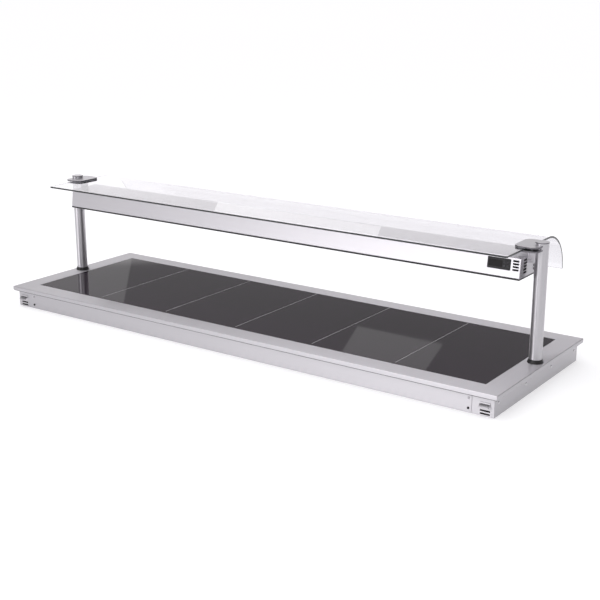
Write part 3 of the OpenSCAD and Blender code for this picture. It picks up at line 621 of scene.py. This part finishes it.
class FlangeSheet(Operator):
    """Folds the flange with its lip, return, well and ledge from one sheet"""

    bl_idname = "hot_plate.flange_sheet"
    bl_label = "Flange"

    def execute(self, context):
        sizes = context.scene.hot_plate_sheet
        low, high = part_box("flange_frame")
        inner_low, inner_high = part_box("glass_seal")
        well_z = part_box("bedding_tape")[0].z
        piece = sheet("flange_sheet", (low.x, low.y, high.z), high)
        outside = lambda e, m: (
            len(e.link_faces) == 1
            and (abs(m.x) > inner_high.x + MM or m.y > inner_high.y + MM or m.y < inner_low.y - MM)
        )
        inside = lambda e, m: len(e.link_faces) == 1 and not outside(e, m)
        with shaping(piece):
            bpy.ops.mesh.select_all(action="SELECT")
            bpy.ops.mesh.bevel(offset=sizes.corner_r, segments=4, affect="VERTICES")
            for place, normal in (
                ((inner_low.x, 0, 0), (1, 0, 0)),
                ((inner_high.x, 0, 0), (1, 0, 0)),
                ((0, inner_low.y, 0), (0, 1, 0)),
                ((0, inner_high.y, 0), (0, 1, 0)),
            ):
                bpy.ops.mesh.select_all(action="SELECT")
                bpy.ops.mesh.bisect(plane_co=place, plane_no=normal)
            pick(
                piece,
                "FACE",
                lambda f, m: abs(m.x) < inner_high.x and inner_low.y < m.y < inner_high.y,
            )
            bpy.ops.mesh.delete(type="ONLY_FACE")
            # The lip, and its return under it
            pick(piece, "EDGE", outside)
            pull((0, 0, low.z - high.z))
            under = sizes.return_w
            pull(stretch=(1 - under / high.x, 1 - under / high.y, 1), about=(0, 0, low.z))
            # The wall of the well, and the ledge that carries the plate
            pick(piece, "EDGE", lambda e, m: inside(e, m) and near(m.z, high.z))
            pull((0, 0, well_z - high.z))
            middle = (inner_low + inner_high) / 2
            half = (inner_high - inner_low) / 2
            ledge = sizes.ledge_w
            pull(
                stretch=(1 - ledge / half.x, 1 - ledge / half.y, 1),
                about=(middle.x, middle.y, well_z),
            )
            # The folds
            for z, radius in (
                (high.z, sizes.fold_r),
                (low.z, sizes.fold_r * 0.8),
                (well_z, sizes.fold_r * 0.5),
            ):
                pick(
                    piece,
                    "EDGE",
                    lambda e, m: near(m.z, z)
                    and len(e.link_faces) == 2
                    and e.calc_face_angle(0) > 0.8,
                )
                bpy.ops.mesh.bevel(offset=radius, segments=3, affect="EDGES", clamp_overlap=True)
            turn_face_up(piece)
        thicken(piece, sizes.flange_t)
        radius, through = 8.25 * MM, 5 * MM
        studs = [
            drum("stud_hole", centre(node), radius, high.z - through, high.z + through, 48)
            for node in ("collar_left", "collar_right")
        ]
        cut_out(piece, studs)
        dress(piece, "brushed stainless", ["flange_frame"])
        return {"FINISHED"}


class GlassCeramicPlate(Operator):
    """Makes the black plate with its round corners and ground edges"""

    bl_idname = "hot_plate.glass_ceramic_plate"
    bl_label = "Glass-ceramic plate"

    def execute(self, context):
        corner_r, ground_edge = 3 * MM, 0.6 * MM
        piece = block("glass_ceramic_plate", *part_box("ceramic_glass"))
        round_corners(piece, 2, corner_r, 4)
        break_edges(piece, ground_edge, 3, 50)
        dress(piece, "black glass-ceramic", ["ceramic_glass"])
        return {"FINISHED"}


class BodyPan(Operator):
    """Folds the pan under the flange, with its air slots and the access opening"""

    bl_idname = "hot_plate.body_pan"
    bl_label = "Body"

    def execute(self, context):
        sizes = context.scene.hot_plate_sheet
        low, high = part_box("body_pan")
        piece = block("body_shell", low, high)
        with shaping(piece):
            pick(piece, "FACE", lambda f, m: near(m.z, high.z))
            bpy.ops.mesh.delete(type="FACE")
            round_edges(piece, sizes.fold_r * 0.75, 3, lambda e, m: len(e.link_faces) == 2)
        thicken(piece, sizes.body_t)
        panel_low, panel_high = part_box("access_panel")
        rim, edge, through = 25 * MM, 8 * MM, 4 * MM
        cutters = [
            block(
                "access_cut",
                (panel_low.x + rim, low.y - through, panel_low.z + edge),
                (panel_high.x - rim, low.y + through, panel_high.z - edge),
            )
        ]
        # Two rows of air slots at each end, front and back
        rows = 8 * MM, 18 * MM
        half = Vector((sizes.slot_l / 2, through, sizes.slot_h / 2))
        slot_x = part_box("air_hoods")[1].x - half.x
        for side, y, z in product((-1, 1), (low.y, high.y), rows):
            middle = Vector((side * slot_x, y, z))
            slot = block("air_slot", middle - half, middle + half)
            round_corners(slot, 1, sizes.slot_h * 0.3)
            cutters.append(slot)
        for node, radius in (("cable_gland", 10.25 * MM), ("earth_stud", 3.25 * MM)):
            middle = centre(node)
            place = (middle.x, high.y, middle.z)
            cutters.append(drill(radius, -through, through, place, math.pi / 2, "X", 48))
        cut_out(piece, cutters)
        dress(piece, "brushed stainless", ["body_pan"])
        return {"FINISHED"}


class AccessPanel(Operator):
    """Cuts the long panel in front of the body and folds the hoods over the air slots"""

    bl_idname = "hot_plate.access_panel"
    bl_label = "Access panel and hoods"

    def execute(self, context):
        sizes = context.scene.hot_plate_sheet
        corner_r, tab_h, hood_t, hood_r, slack = 1.5 * MM, 5 * MM, 1 * MM, 1.2 * MM, 1.8 * MM
        panel = block("access_cover", *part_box("access_panel"))
        round_corners(panel, 1, corner_r)
        break_edges(panel, sizes.broken_edge, 2, 60)
        dress(panel, "brushed stainless", ["access_panel"])
        low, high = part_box("air_hoods")
        wall = high.y
        hoods = []
        for side in (-1, 1):
            x0, x1 = sorted((side * high.x, side * (high.x - sizes.slot_l)))
            hood = sheet("air_hood", (x0, wall - hood_t, high.z), (x1, wall - hood_t + tab_h, 0))
            with shaping(hood):
                # The tab stands on the wall, and the hood slopes down from it
                mesh = bmesh.from_edit_mesh(hood.data)
                for v in mesh.verts:
                    if v.co.y > wall - hood_t / 2:
                        v.co.y, v.co.z = wall - hood_t, high.z - tab_h
                bmesh.update_edit_mesh(hood.data)
                pick(hood, "EDGE", lambda e, m: near(m.z, high.z - tab_h))
                pull((0, low.y - wall + slack, low.z + hood_t - (high.z - tab_h)))
                round_edges(hood, hood_r, 3, lambda e, m: len(e.link_faces) == 2)
            thicken(hood, hood_t)
            hoods.append(hood)
        hood = fuse(hoods)
        hood.name = hood.data.name = "slot_hoods"
        break_edges(hood, 0.2 * MM, 1, 60)
        dress(hood, "satin stainless plate", ["air_hoods"])
        return {"FINISHED"}


class Posts(Operator):
    """Makes the tubes, their foot collars and their caps"""

    bl_idname = "hot_plate.posts"
    bl_label = "Posts"

    def execute(self, context):
        sizes = context.scene.hot_plate_fittings
        fit, rim, cable_r, hole_r = 0.05 * MM, 1.2 * MM, 3.5 * MM, 3.75 * MM
        for side in ("left", "right"):
            low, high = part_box("post_" + side)
            place, radius = (low + high) / 2, (high.x - low.x) / 2
            tube = drum("tube_" + side, place, radius, low.z, high.z, 96, "NOTHING")
            thicken(tube, sizes.tube_wall)
            # The hole through which the cable goes into the gantry
            cable = (*place.xy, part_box("riser_cable")[1].z - cable_r)
            inward = math.copysign(math.pi / 2, -place.x)
            cut_out(tube, [drill(hole_r, 0, 2 * radius, cable, inward, "Y", 32)])
            dress(tube, "polished stainless tube", ["post_" + side])

            low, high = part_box("collar_" + side)
            outer, bore = (high.x - low.x) / 2, radius + fit
            collar = drum("foot_collar_" + side, place, outer, low.z, high.z)
            with shaping(collar):
                pick(collar, "FACE", lambda f, m: near(m.z, high.z))
                shrink, top = (bore + rim) / outer, (*place.xy, high.z)
                bpy.ops.transform.resize(value=(shrink, shrink, 1), center_override=top)
                bpy.ops.mesh.inset(thickness=rim)
                pick(collar, "FACE", lambda f, m: near(m.z, low.z))
                bpy.ops.mesh.inset(thickness=outer - bore)
                pick(collar, "FACE", lambda f, m: len(f.verts) > 8)
                bpy.ops.mesh.bridge_edge_loops()
                from_axis = lambda point: (point.xy - place.xy).length
                at_foot = lambda e, m: near(m.z, low.z) and all(
                    near(from_axis(v.co), outer) for v in e.verts
                )
                at_top = lambda e, m: near(m.z, high.z) and from_axis(m) > bore + 0.75 * rim
                round_edges(collar, 1 * MM, 3, at_foot)
                round_edges(collar, 0.8 * MM, 3, at_top)
                bpy.ops.mesh.select_all(action="SELECT")
                bpy.ops.mesh.normals_make_consistent(inside=False)
            dress(collar, "black moulded nylon", ["collar_" + side])

            low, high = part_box("cap_" + side)
            outer = (high.x - low.x) / 2
            rim_z = high.z - sizes.cap_h
            cap = drum("post_cap_" + side, place, outer, rim_z, high.z)
            with shaping(cap):
                pick(cap, "FACE", lambda f, m: near(m.z, rim_z))
                bpy.ops.mesh.inset(thickness=outer - radius + sizes.tube_wall + fit)
                bpy.ops.mesh.extrude_region_move(
                    TRANSFORM_OT_translate={"value": (0, 0, low.z - rim_z)}
                )
                round_edges(cap, 0.8 * MM, 4, lambda e, m: near(m.z, high.z))
            dress(cap, "satin stainless plate", ["cap_" + side])
            # The cap's side is painted darker: partly oxide, partly a painted dark reflection
            finish_edges(
                cap, "laser-cut edge with painted dark reflection", lambda f, m: abs(f.normal.z) < 0.3 and m.z > rim_z
            )
        return {"FINISHED"}


class ClampPlates(Operator):
    """Cuts the clamp plates that hold the glass between them at each post"""

    bl_idname = "hot_plate.clamp_plates"
    bl_label = "Clamp plates"

    def execute(self, context):
        sizes = context.scene.hot_plate_fittings
        notch_r = 21.3 * MM
        for side in ("left", "right"):
            post = centre("post_" + side)
            for level in ("lower", "upper"):
                node = f"{level}_clamp_{side}"
                low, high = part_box(node)
                plate = block(f"{level}_plate_{side}", low, high)
                round_corners(plate, 2, sizes.clamp_r, 12)
                cut_out(plate, [drum("notch", post, notch_r, low.z - MM, high.z + MM)])
                break_edges(plate, 1 * MM, 3, 50)
                dress(plate, "satin stainless plate", [node])
                # The plate's cut sides are painted darker: partly oxide, partly a painted dark
                # reflection of the black plate
                finish_edges(plate, "laser-cut edge with painted dark reflection", lambda f, m: abs(f.normal.z) < 0.5)
        return {"FINISHED"}


class BentGlass(Operator):
    """Bends the glass shelf down at the back and polishes its edges"""

    bl_idname = "hot_plate.bent_glass"
    bl_label = "Glass shelf"

    def execute(self, context):
        sizes = context.scene.hot_plate_glass
        low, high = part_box("glass_shelf")
        middle_z = high.z - sizes.thickness / 2
        bend_y = high.y - sizes.thickness / 2 - sizes.bend_r
        glass = sheet("bent_glass", (low.x, low.y, middle_z), (high.x, bend_y, 0))
        with shaping(glass):
            pick(glass, "VERT", lambda v, m: near(m.y, low.y))
            bpy.ops.mesh.bevel(offset=sizes.corner_r, segments=4, affect="VERTICES")
            pick(glass, "EDGE", lambda e, m: near(m.y, bend_y))
            bpy.ops.mesh.spin(
                steps=24,
                angle=math.pi / 2,
                center=(0, bend_y, middle_z - sizes.bend_r),
                axis=(1, 0, 0),
            )
            pick(
                glass,
                "EDGE",
                lambda e, m: near(m.y, bend_y + sizes.bend_r)
                and len(e.link_faces) == 1
                and near(m.x, 0),
            )
            pull((0, 0, -sizes.tail))
            bpy.ops.mesh.select_all(action="SELECT")
            bpy.ops.mesh.remove_doubles(threshold=0.01 * MM)
            bpy.ops.mesh.normals_make_consistent(inside=False)
        thicken(glass, sizes.thickness, 0)
        break_edges(glass, sizes.arris, 2, 60)
        dress(glass, "toughened float glass", ["glass_shelf"], angle=20)
        ends = low.x + sizes.arris / 2, high.x - sizes.arris / 2
        finish_edges(
            glass,
            "polished glass edge",
            lambda f, m: abs(f.normal.x) > 0.9 and not ends[0] < m.x < ends[1]
            or f.normal.y < -0.9 and m.y < low.y + sizes.arris / 2,
        )
        return {"FINISHED"}


def fascia():
    """The frame of the gantry's leaning front: +Y goes into the gantry and +Z up the sheet."""
    low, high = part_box("gantry_housing")
    tilt = math.atan2(bpy.context.scene.hot_plate_sheet.lean, high.z - low.z)
    return Matrix.Translation((0, low.y, low.z)) @ Matrix.Rotation(-tilt, 4, "X")


def on_fascia(piece):
    """Moves a piece drawn upright at the origin onto the fascia."""
    piece.matrix_world = fascia() @ piece.matrix_world
    return settle(piece, piece.name)


def face_place():
    """The middle of the controller on the fascia: along X, and up the sheet."""
    return centre("controller").x, bpy.context.scene.hot_plate_fittings.face_up


class GantryHousing(Operator):
    """Folds the gantry's long channel and makes its slotted ends"""

    bl_idname = "hot_plate.gantry_housing"
    bl_label = "Gantry"

    def execute(self, context):
        sizes = context.scene.hot_plate_sheet
        low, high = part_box("gantry_housing")
        lean, hook = sizes.lean, sizes.hook_w
        channel = sheet(
            "gantry_channel", (low.x, low.y + lean, high.z), (high.x, high.y - lean, 0)
        )
        drop = low.z - high.z
        with shaping(channel):
            for y, turn in ((low.y + lean, -1), (high.y - lean, 1)):
                pick(channel, "EDGE", lambda e, m: near(m.y, y) and near(m.z, high.z))
                pull((0, turn * lean, drop))
                pull((0, -turn * hook, 0))
            round_edges(channel, sizes.fold_r * 1.4, 4, lambda e, m: len(e.link_faces) == 2)
            turn_face_up(channel)
        thicken(channel, sizes.gantry_t)
        # The controller's opening, which its rim laps over, and the slots beside it
        x, up = face_place()
        face = context.scene.hot_plate_fittings
        through, lap = 4 * MM, 1.5 * MM
        half = Vector((face.face_w / 2 - lap, through, face.face_h / 2 - lap))
        middle = Vector((x, 0, up))
        cutters = [on_fascia(block("opening", middle - half, middle + half))]
        slot_x, slot_l, slot_h, pitch = 16 * MM, 21 * MM, 6 * MM, 9.3 * MM
        end_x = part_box("end_cap_right")[1].x
        for i in (-1.5, -0.5, 0.5, 1.5):
            slot = slot_cutter(end_x - slot_x, up + i * pitch, slot_l, slot_h, through)
            cutters.append(on_fascia(slot))
        cut_out(channel, cutters)
        dress(channel, "fine-ground stainless", ["gantry_housing"])

        for side in ("left", "right"):
            node = "end_cap_" + side
            cap_low, cap_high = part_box(node)
            outer = cap_high.x if side == "right" else cap_low.x
            inner = outer - math.copysign(sizes.gantry_t, outer)
            x0, x1 = sorted((outer, inner))
            cap = block("gantry_end_" + side, (x0, *cap_low.yz), (x1, *cap_high.yz))
            middle_y = (cap_low.y + cap_high.y) / 2
            with shaping(cap):
                pick(cap, "FACE", lambda f, m: near(m.z, cap_high.z))
                width = cap_high.y - cap_low.y
                bpy.ops.transform.resize(
                    value=(1, (width - 2 * lean) / width, 1),
                    center_override=(0, middle_y, cap_high.z),
                )
            cutters = []
            slot_y, slot_z, slot_l, slot_h, pitch = -35 * MM, 15 * MM, 24 * MM, 6.5 * MM, 10 * MM
            for i in range(5):
                slot = slot_cutter(0, 0, slot_l, slot_h, through)
                place = (outer, middle_y + slot_y, cap_low.z + slot_z + pitch * i)
                slot.matrix_world = Matrix.Translation(place) @ Matrix.Rotation(math.pi / 2, 4, "Z")
                cutters.append(settle(slot, "slot"))
            cut_out(cap, cutters)
            break_edges(cap, sizes.broken_edge, 2, 50)
            # The tab and the nut block behind the end's two screws
            y0, y1, z0 = middle_y + 20 * MM, middle_y + 46 * MM, cap_low.z + sizes.gantry_t
            backing = []
            for reach, rise in ((14 * MM, 1.2 * MM), (6 * MM, 30 * MM)):
                x0, x1 = sorted((inner, inner - math.copysign(reach, outer)))
                backing.append(block("tab", (x0, y0, z0), (x1, y1, z0 + rise)))
            cap = fuse([cap, *backing])
            dress(cap, "brushed stainless", [node])
        return {"FINISHED"}


def slot_cutter(x, z, long, high, through):
    """A cutter for one slot, with its corners rounded as a punch leaves them."""
    cutter = block(
        "slot", (x - long / 2, -through, z - high / 2), (x + long / 2, through, z + high / 2)
    )
    round_corners(cutter, 1, high * 0.25)
    return cutter


class Hangers(Operator):
    """Mills the blocks that carry the gantry on the posts"""

    bl_idname = "hot_plate.hangers"
    bl_label = "Hangers"

    def execute(self, context):
        flange_t, step, seat_r = 4 * MM, 4 * MM, 21.25 * MM
        for side in ("left", "right"):
            node = "hanger_" + side
            low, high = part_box(node)
            post = centre("post_" + side)
            gantry_x = low.x if side == "right" else high.x
            x0, x1 = sorted((gantry_x, gantry_x + math.copysign(flange_t, gantry_x)))
            plate = block("hanger_block_" + side, (x0, *low.yz), (x1, *high.yz))
            x0, x1 = sorted((gantry_x + math.copysign(flange_t / 2, gantry_x), post.x))
            web = block("web", (x0, low.y + step, low.z), (x1, high.y - step, high.z))
            modify(plate, "BOOLEAN", operation="UNION", solver="EXACT", object=web)
            bpy.data.objects.remove(web)
            cut_out(plate, [drum("seat", post, seat_r, low.z - MM, high.z + MM)])
            break_edges(plate, 0.8 * MM, 2, 50)
            dress(plate, "satin stainless plate", [node])
        return {"FINISHED"}


class Controller(Operator):
    """Moulds the controller with its window and its four keys"""

    bl_idname = "hot_plate.controller"
    bl_label = "Controller"

    def execute(self, context):
        sizes = context.scene.hot_plate_fittings
        x, up = face_place()
        w, h, t = sizes.face_w, sizes.face_h, sizes.face_t
        corner_r, wall, depth, play, key_r = 2 * MM, 1.8 * MM, 58 * MM, 0.15 * MM, 1.2 * MM
        case = block("controller_case", (x - w / 2, -t, up - h / 2), (x + w / 2, 0, up + h / 2))
        round_corners(case, 1, corner_r, 4)
        with shaping(case):
            pick(case, "FACE", lambda f, m: near(m.y, 0))
            bpy.ops.mesh.inset(thickness=wall)
            bpy.ops.mesh.extrude_region_move(TRANSFORM_OT_translate={"value": (0, depth, 0)})
            round_edges(case, sizes.bezel_edge, 3, rim_at(-t))

        # The window's recess, and a pocket round each key
        window_x, window_t = x - w / 2 + 5 * MM, 1 * MM
        low = Vector((window_x, -t, up - sizes.window_h / 2))
        high = Vector((window_x + sizes.window_w, -t + window_t, up + sizes.window_h / 2))
        gap = Vector((play, 0, play))
        cutters = [block("window_cut", low - gap - Vector((0, MM, 0)), high + gap)]
        keys_x, pitch_x, pitch_z = x + 25 * MM, 11 * MM, 11 * MM
        half = Vector((sizes.key_w / 2, 0, sizes.key_h / 2))
        stands_out, goes_in = Vector((0, 1 * MM, 0)), Vector((0, 4 * MM, 0))
        gap, room = Vector((0.3 * MM, 0, 0.3 * MM)), Vector((0, 1.1 * MM, 0))
        places = {}
        for i, name in enumerate(("set", "up", "power", "down")):
            across, level = i % 2 - 0.5, 0.5 if i < 2 else -0.5
            place = Vector((keys_x + across * pitch_x, -t, up + level * pitch_z))
            places[name] = place
            pocket_low, pocket_high = place - half - gap, place + half + gap
            cutters.append(block("key_cut", pocket_low - stands_out, pocket_high + goes_in + room))
        cut_out(case, cutters)
        on_fascia(case)
        dress(case, "black moulded bezel", ["controller"])

        window = block("controller_window", low, high)
        break_edges(window, 0.25 * MM, 2, 60)
        on_fascia(window)
        dress(window, "tinted acrylic window", ["display_window"])

        for name, place in places.items():
            key = block(name + "_key", place - half - stands_out, place + half + goes_in)
            round_corners(key, 1, key_r)
            with shaping(key):
                round_edges(key, sizes.key_edge, 3, rim_at(-t - stands_out.y))
            on_fascia(key)
            dress(key, "grey silicone keys", ["key_" + name], body=f"key_{name}_body")
        return {"FINISHED"}


# The kept solids and their finishes
FINISH_OF = {
    "zone_marks": "grey enamel print",
    "glass_seal": "black silicone joint",
    "bedding_tape": "woven glass tape",
    "flange_gasket": "black foam gasket",
    "panel_screws": "bright stainless fasteners",
    "panel_locks": "black oxide screws",
    "side_rivets": "bright stainless fasteners",
    "heating_mats": "silicone heating mat",
    "insulation_board": "mineral fibre board",
    "carrier_tray": "galvanised steel",
    "limit_thermostats": "glazed steatite",
    "plate_probe": "bright stainless fasteners",
    "terminal_block": "white terminal plastic",
    "power_relays": "grey relay housing",
    "wiring_loom": "black cable jacket",
    "cable_gland": "black moulded nylon",
    "gland_nut": "black moulded nylon",
    "earth_stud": "tarnished brass",
    "post_plugs": "bright stainless fasteners",
    "post_studs": "bright stainless fasteners",
    "spreader_plates": "galvanised steel",
    "stud_nuts": "bright stainless fasteners",
    "riser_cable": "black cable jacket",
    "clamp_pads": "clear vinyl pads",
    "clamp_screws": "bright stainless fasteners",
    "hanger_screws": "bright stainless fasteners",
    "end_cap_screws": "black oxide screws",
    "reflector": "bright anodised aluminium",
    "heat_lamps": "fused quartz",
    "lamp_holders": "glazed steatite",
    "lamp_guard": "black powder coat",
    "control_cover": "brushed stainless",
    "lamp_terminals": "white terminal plastic",
}


class KeptSolids(Operator):
    """Gives each solid that is kept as it is its own finish"""

    bl_idname = "hot_plate.kept_solids"
    bl_label = "Finishes of the kept solids"

    def execute(self, context):
        for node, finish in FINISH_OF.items():
            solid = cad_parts[node]
            solid.data.materials.clear()
            solid.data.materials.append(bpy.data.materials[finish])
        left = [
            name
            for name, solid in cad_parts.items()
            if name not in FINISH_OF and not solid.hide_render
        ]
        if left:
            raise RuntimeError(f"no finish for {left}")
        return {"FINISHED"}


class StageSet(Operator):
    """Sets the pale floor, the soft lights and the camera"""

    bl_idname = "hot_plate.stage_set"
    bl_label = "Stage"

    def execute(self, context):
        scene = context.scene
        studio = scene.hot_plate_studio
        begin()
        bpy.ops.mesh.primitive_plane_add(size=240)
        floor = settle(bpy.context.object, "studio_floor")
        floor.data.materials.append(floor_paper())

        # Three softboxes light the hot plate. Two lit cards stand where its plate mirrors them,
        # and a third, far behind, where its glass shelf does.
        for name, power, place, target, size, roll in (
            ("softbox_over", studio.key_power, (-0.6, -1, 3.2), (0, 0, 0), (4.5, 2.2), 0),
            ("softbox_left", studio.side_power, (-3.9, 0.8, 2.7), (-1, 0, 0), (2.2, 1.6), 0),
            ("softbox_front", studio.fill_power, (1.5, -2.6, 1.7), (0.9, -0.9, 0), (1.6, 1.2), 0),
            (
                "card_middle", 0.327,
                (-2.938, 5.872, 2.471), (0.631, 3.001, 4.476), (1.001, 0.435), -19.9,
            ),
            (
                "card_left", 1.216,
                (-11.919, 10.327, 4.062), (-9.16, 6.406, 2.643), (1.753, 1.02), -10.4,
            ),
            (
                "card_shelf", 3.382,
                (-14.706, 20.659, 6.071), (-15.531, 16.54, 3.36), (6.095, 0.44), 2.8,
            ),
        ):
            lamp = bpy.data.lights.new(name, "AREA")
            lamp.shape, lamp.size, lamp.size_y, lamp.energy = "RECTANGLE", *size, power
            holder = bpy.data.objects.new(name, lamp)
            scene.collection.objects.link(holder)
            holder.location = place
            aim = Vector(target) - Vector(place)
            holder.rotation_euler = aim.to_track_quat("-Z", "Y").to_euler()
            holder.rotation_euler.rotate_axis("Z", math.radians(roll))

        scene.world = studio_world()
        view = bpy.data.cameras.new("photo_camera")
        view.lens, view.sensor_width = 68.2, 36
        camera = bpy.data.objects.new("photo_camera", view)
        scene.collection.objects.link(camera)
        camera.location = (2.37876, -3.23636, 1.29682)
        camera.rotation_euler = (math.radians(73.65), 0, math.radians(35.09))
        scene.camera = camera
        scene.view_settings.view_transform = "Standard"
        return {"FINISHED"}


def in_view(tree):
    """The share of rays that look at the studio: from the camera, off metal and through glass."""
    path = add(tree, "LightPath").outputs
    direct = add(
        tree, "Math", {"operation": "MAXIMUM"}, {0: path["Is Camera Ray"], 1: path["Is Glossy Ray"]}
    )
    return add(
        tree,
        "Math",
        {"operation": "MAXIMUM"},
        {0: direct.outputs[0], 1: path["Is Transmission Ray"]},
    ).outputs[0]


def floor_paper():
    """Pale studio paper. It looks white, and it keeps the shadow of the hot plate."""
    surface = bpy.data.materials.new("studio paper")
    surface.use_nodes = True
    tree = surface.node_tree
    tree.nodes.clear()
    paper = add(tree, "BsdfDiffuse", {"Color": (*linear("#e0dfe1"), 1)})
    level = add(tree, "MapRange", {"To Min": 0, "To Max": 0.38}, {"Value": in_view(tree)})
    glow = add(tree, "Emission", None, {"Strength": level.outputs[0]})
    both = add(tree, "AddShader", None, {0: paper.outputs[0], 1: glow.outputs[0]})
    add(tree, "OutputMaterial", None, {"Surface": both.outputs[0]})
    return surface


# The studio as the camera, metal and glass see it. ROUND gives how light its walls are, from 180
# degrees left of the hot plate's front to 180 degrees right of it. BEHIND gives how light the rest
# is, by the sine of its height: the ceiling, what is below the horizon and the back left corner.
ROUND = (
    (-180, 0.2), (-160, 0.3), (-135, 1.1), (-120, 0.9), (-112, 0.15), (-85, 0.15), (-62, 0.2),
    (-50, 0.25), (-43, 0.7), (-37, 1.6), (-30, 3), (-21, 3.7), (-14, 0.2), (5, 0.1), (45, 0.1),
    (80, 0.25), (115, 0.15), (165, 0.12), (180, 0.3),
)
BEHIND = (
    (-1, 1), (0, 1), (0.02, 1.6), (0.14, 1.6), (0.18, 1.13), (0.238, 1.05), (0.25, 0.29),
    (0.43, 0.29), (0.53, 1.15), (0.8, 0.95), (1, 0.9),
)


def studio_world():
    """Light and dark walls to mirror, and an even pale light for all that is matt."""
    world = bpy.data.worlds.new("studio")
    world.use_nodes = True
    tree = world.node_tree
    tree.nodes.clear()
    way = add(tree, "TexCoord").outputs["Generated"]
    x, y, z = add(tree, "SeparateXYZ", None, {0: way}).outputs
    front = add(tree, "Math", {"operation": "MULTIPLY", 1: -1}, {0: y}).outputs[0]
    turn = add(tree, "Math", {"operation": "ARCTAN2"}, {0: x, 1: front}).outputs[0]
    walls = []
    for source, reach, levels in ((turn, math.pi, ROUND), (z, 1, BEHIND)):
        place = add(
            tree, "MapRange", {"From Min": -reach, "From Max": reach}, {"Value": source}
        ).outputs[0]
        wall = add(tree, "ValToRGB", None, {0: place})
        stops = wall.color_ramp
        stops.elements.remove(stops.elements[1])
        for at, level in levels:
            at = at / 360 + 0.5 if reach > 1 else (at + 1) / 2
            stop = stops.elements[0] if at == 0 else stops.elements.new(at)
            stop.color = (level, level * 0.985, level, 1)
        walls.append(wall.outputs[0])
    # The walls round it stand from the horizon to the ceiling, but for the corner at its back left
    parts = [
        add(tree, "MapRange", {"From Min": low, "From Max": high}, {"Value": source}).outputs[0]
        for source, low, high in ((z, -0.02, 0.05), (z, 0.8, 0.6), (x, -0.3, -0.15), (y, 0.5, 0.3))
    ]
    for place, kind, a, b in ((2, "MAXIMUM", 2, 3), (1, "MULTIPLY", 1, 2), (0, "MULTIPLY", 0, 1)):
        parts[place] = add(tree, "Math", {"operation": kind}, {0: parts[a], 1: parts[b]}).outputs[0]
    look = add(tree, "Mix", {"data_type": "RGBA"}, {0: parts[0], 6: walls[1], 7: walls[0]})
    seen = add(tree, "Background", None, {"Color": look.outputs[2]})
    light = add(tree, "Background", {"Color": (*linear("#ebebec"), 1)})
    mix = add(
        tree, "MixShader", None, {0: in_view(tree), 1: light.outputs[0], 2: seen.outputs[0]}
    )
    add(tree, "OutputWorld", None, {"Surface": mix.outputs[0]})
    return world


PIECES = (
    Surfaces,
    FlangeSheet,
    GlassCeramicPlate,
    BodyPan,
    AccessPanel,
    Posts,
    ClampPlates,
    BentGlass,
    GantryHousing,
    Hangers,
    Controller,
    KeptSolids,
    StageSet,
)


class HotPlatePanel(Panel):
    """Lists the pieces of the hot plate and the values that shape them"""

    bl_idname = "VIEW3D_PT_hot_plate"
    bl_label = "Hot plate"
    bl_space_type = "VIEW_3D"
    bl_region_type = "UI"
    bl_category = "Hot plate"

    def draw(self, context):
        for kind in PIECES:
            self.layout.operator(kind.bl_idname)
        for name, kind in GROUPS.items():
            box = self.layout.box()
            for value in kind.__annotations__:
                box.prop(getattr(context.scene, name), value)


GROUPS = {
    "hot_plate_sheet": SheetMetal,
    "hot_plate_glass": GlassShelf,
    "hot_plate_fittings": Fittings,
    "hot_plate_finishes": Finishes,
    "hot_plate_studio": Studio,
}


def register():
    for kind in (*GROUPS.values(), *PIECES, HotPlatePanel):
        bpy.utils.register_class(kind)
    for name, kind in GROUPS.items():
        setattr(bpy.types.Scene, name, PointerProperty(type=kind))


def unregister():
    for name in GROUPS:
        delattr(bpy.types.Scene, name)
    for kind in reversed((*GROUPS.values(), *PIECES, HotPlatePanel)):
        bpy.utils.unregister_class(kind)


def main():
    register()
    for kind in PIECES:
        group, name = kind.bl_idname.split(".")
        getattr(getattr(bpy.ops, group), name)()


if __name__ == "__main__":
    main()
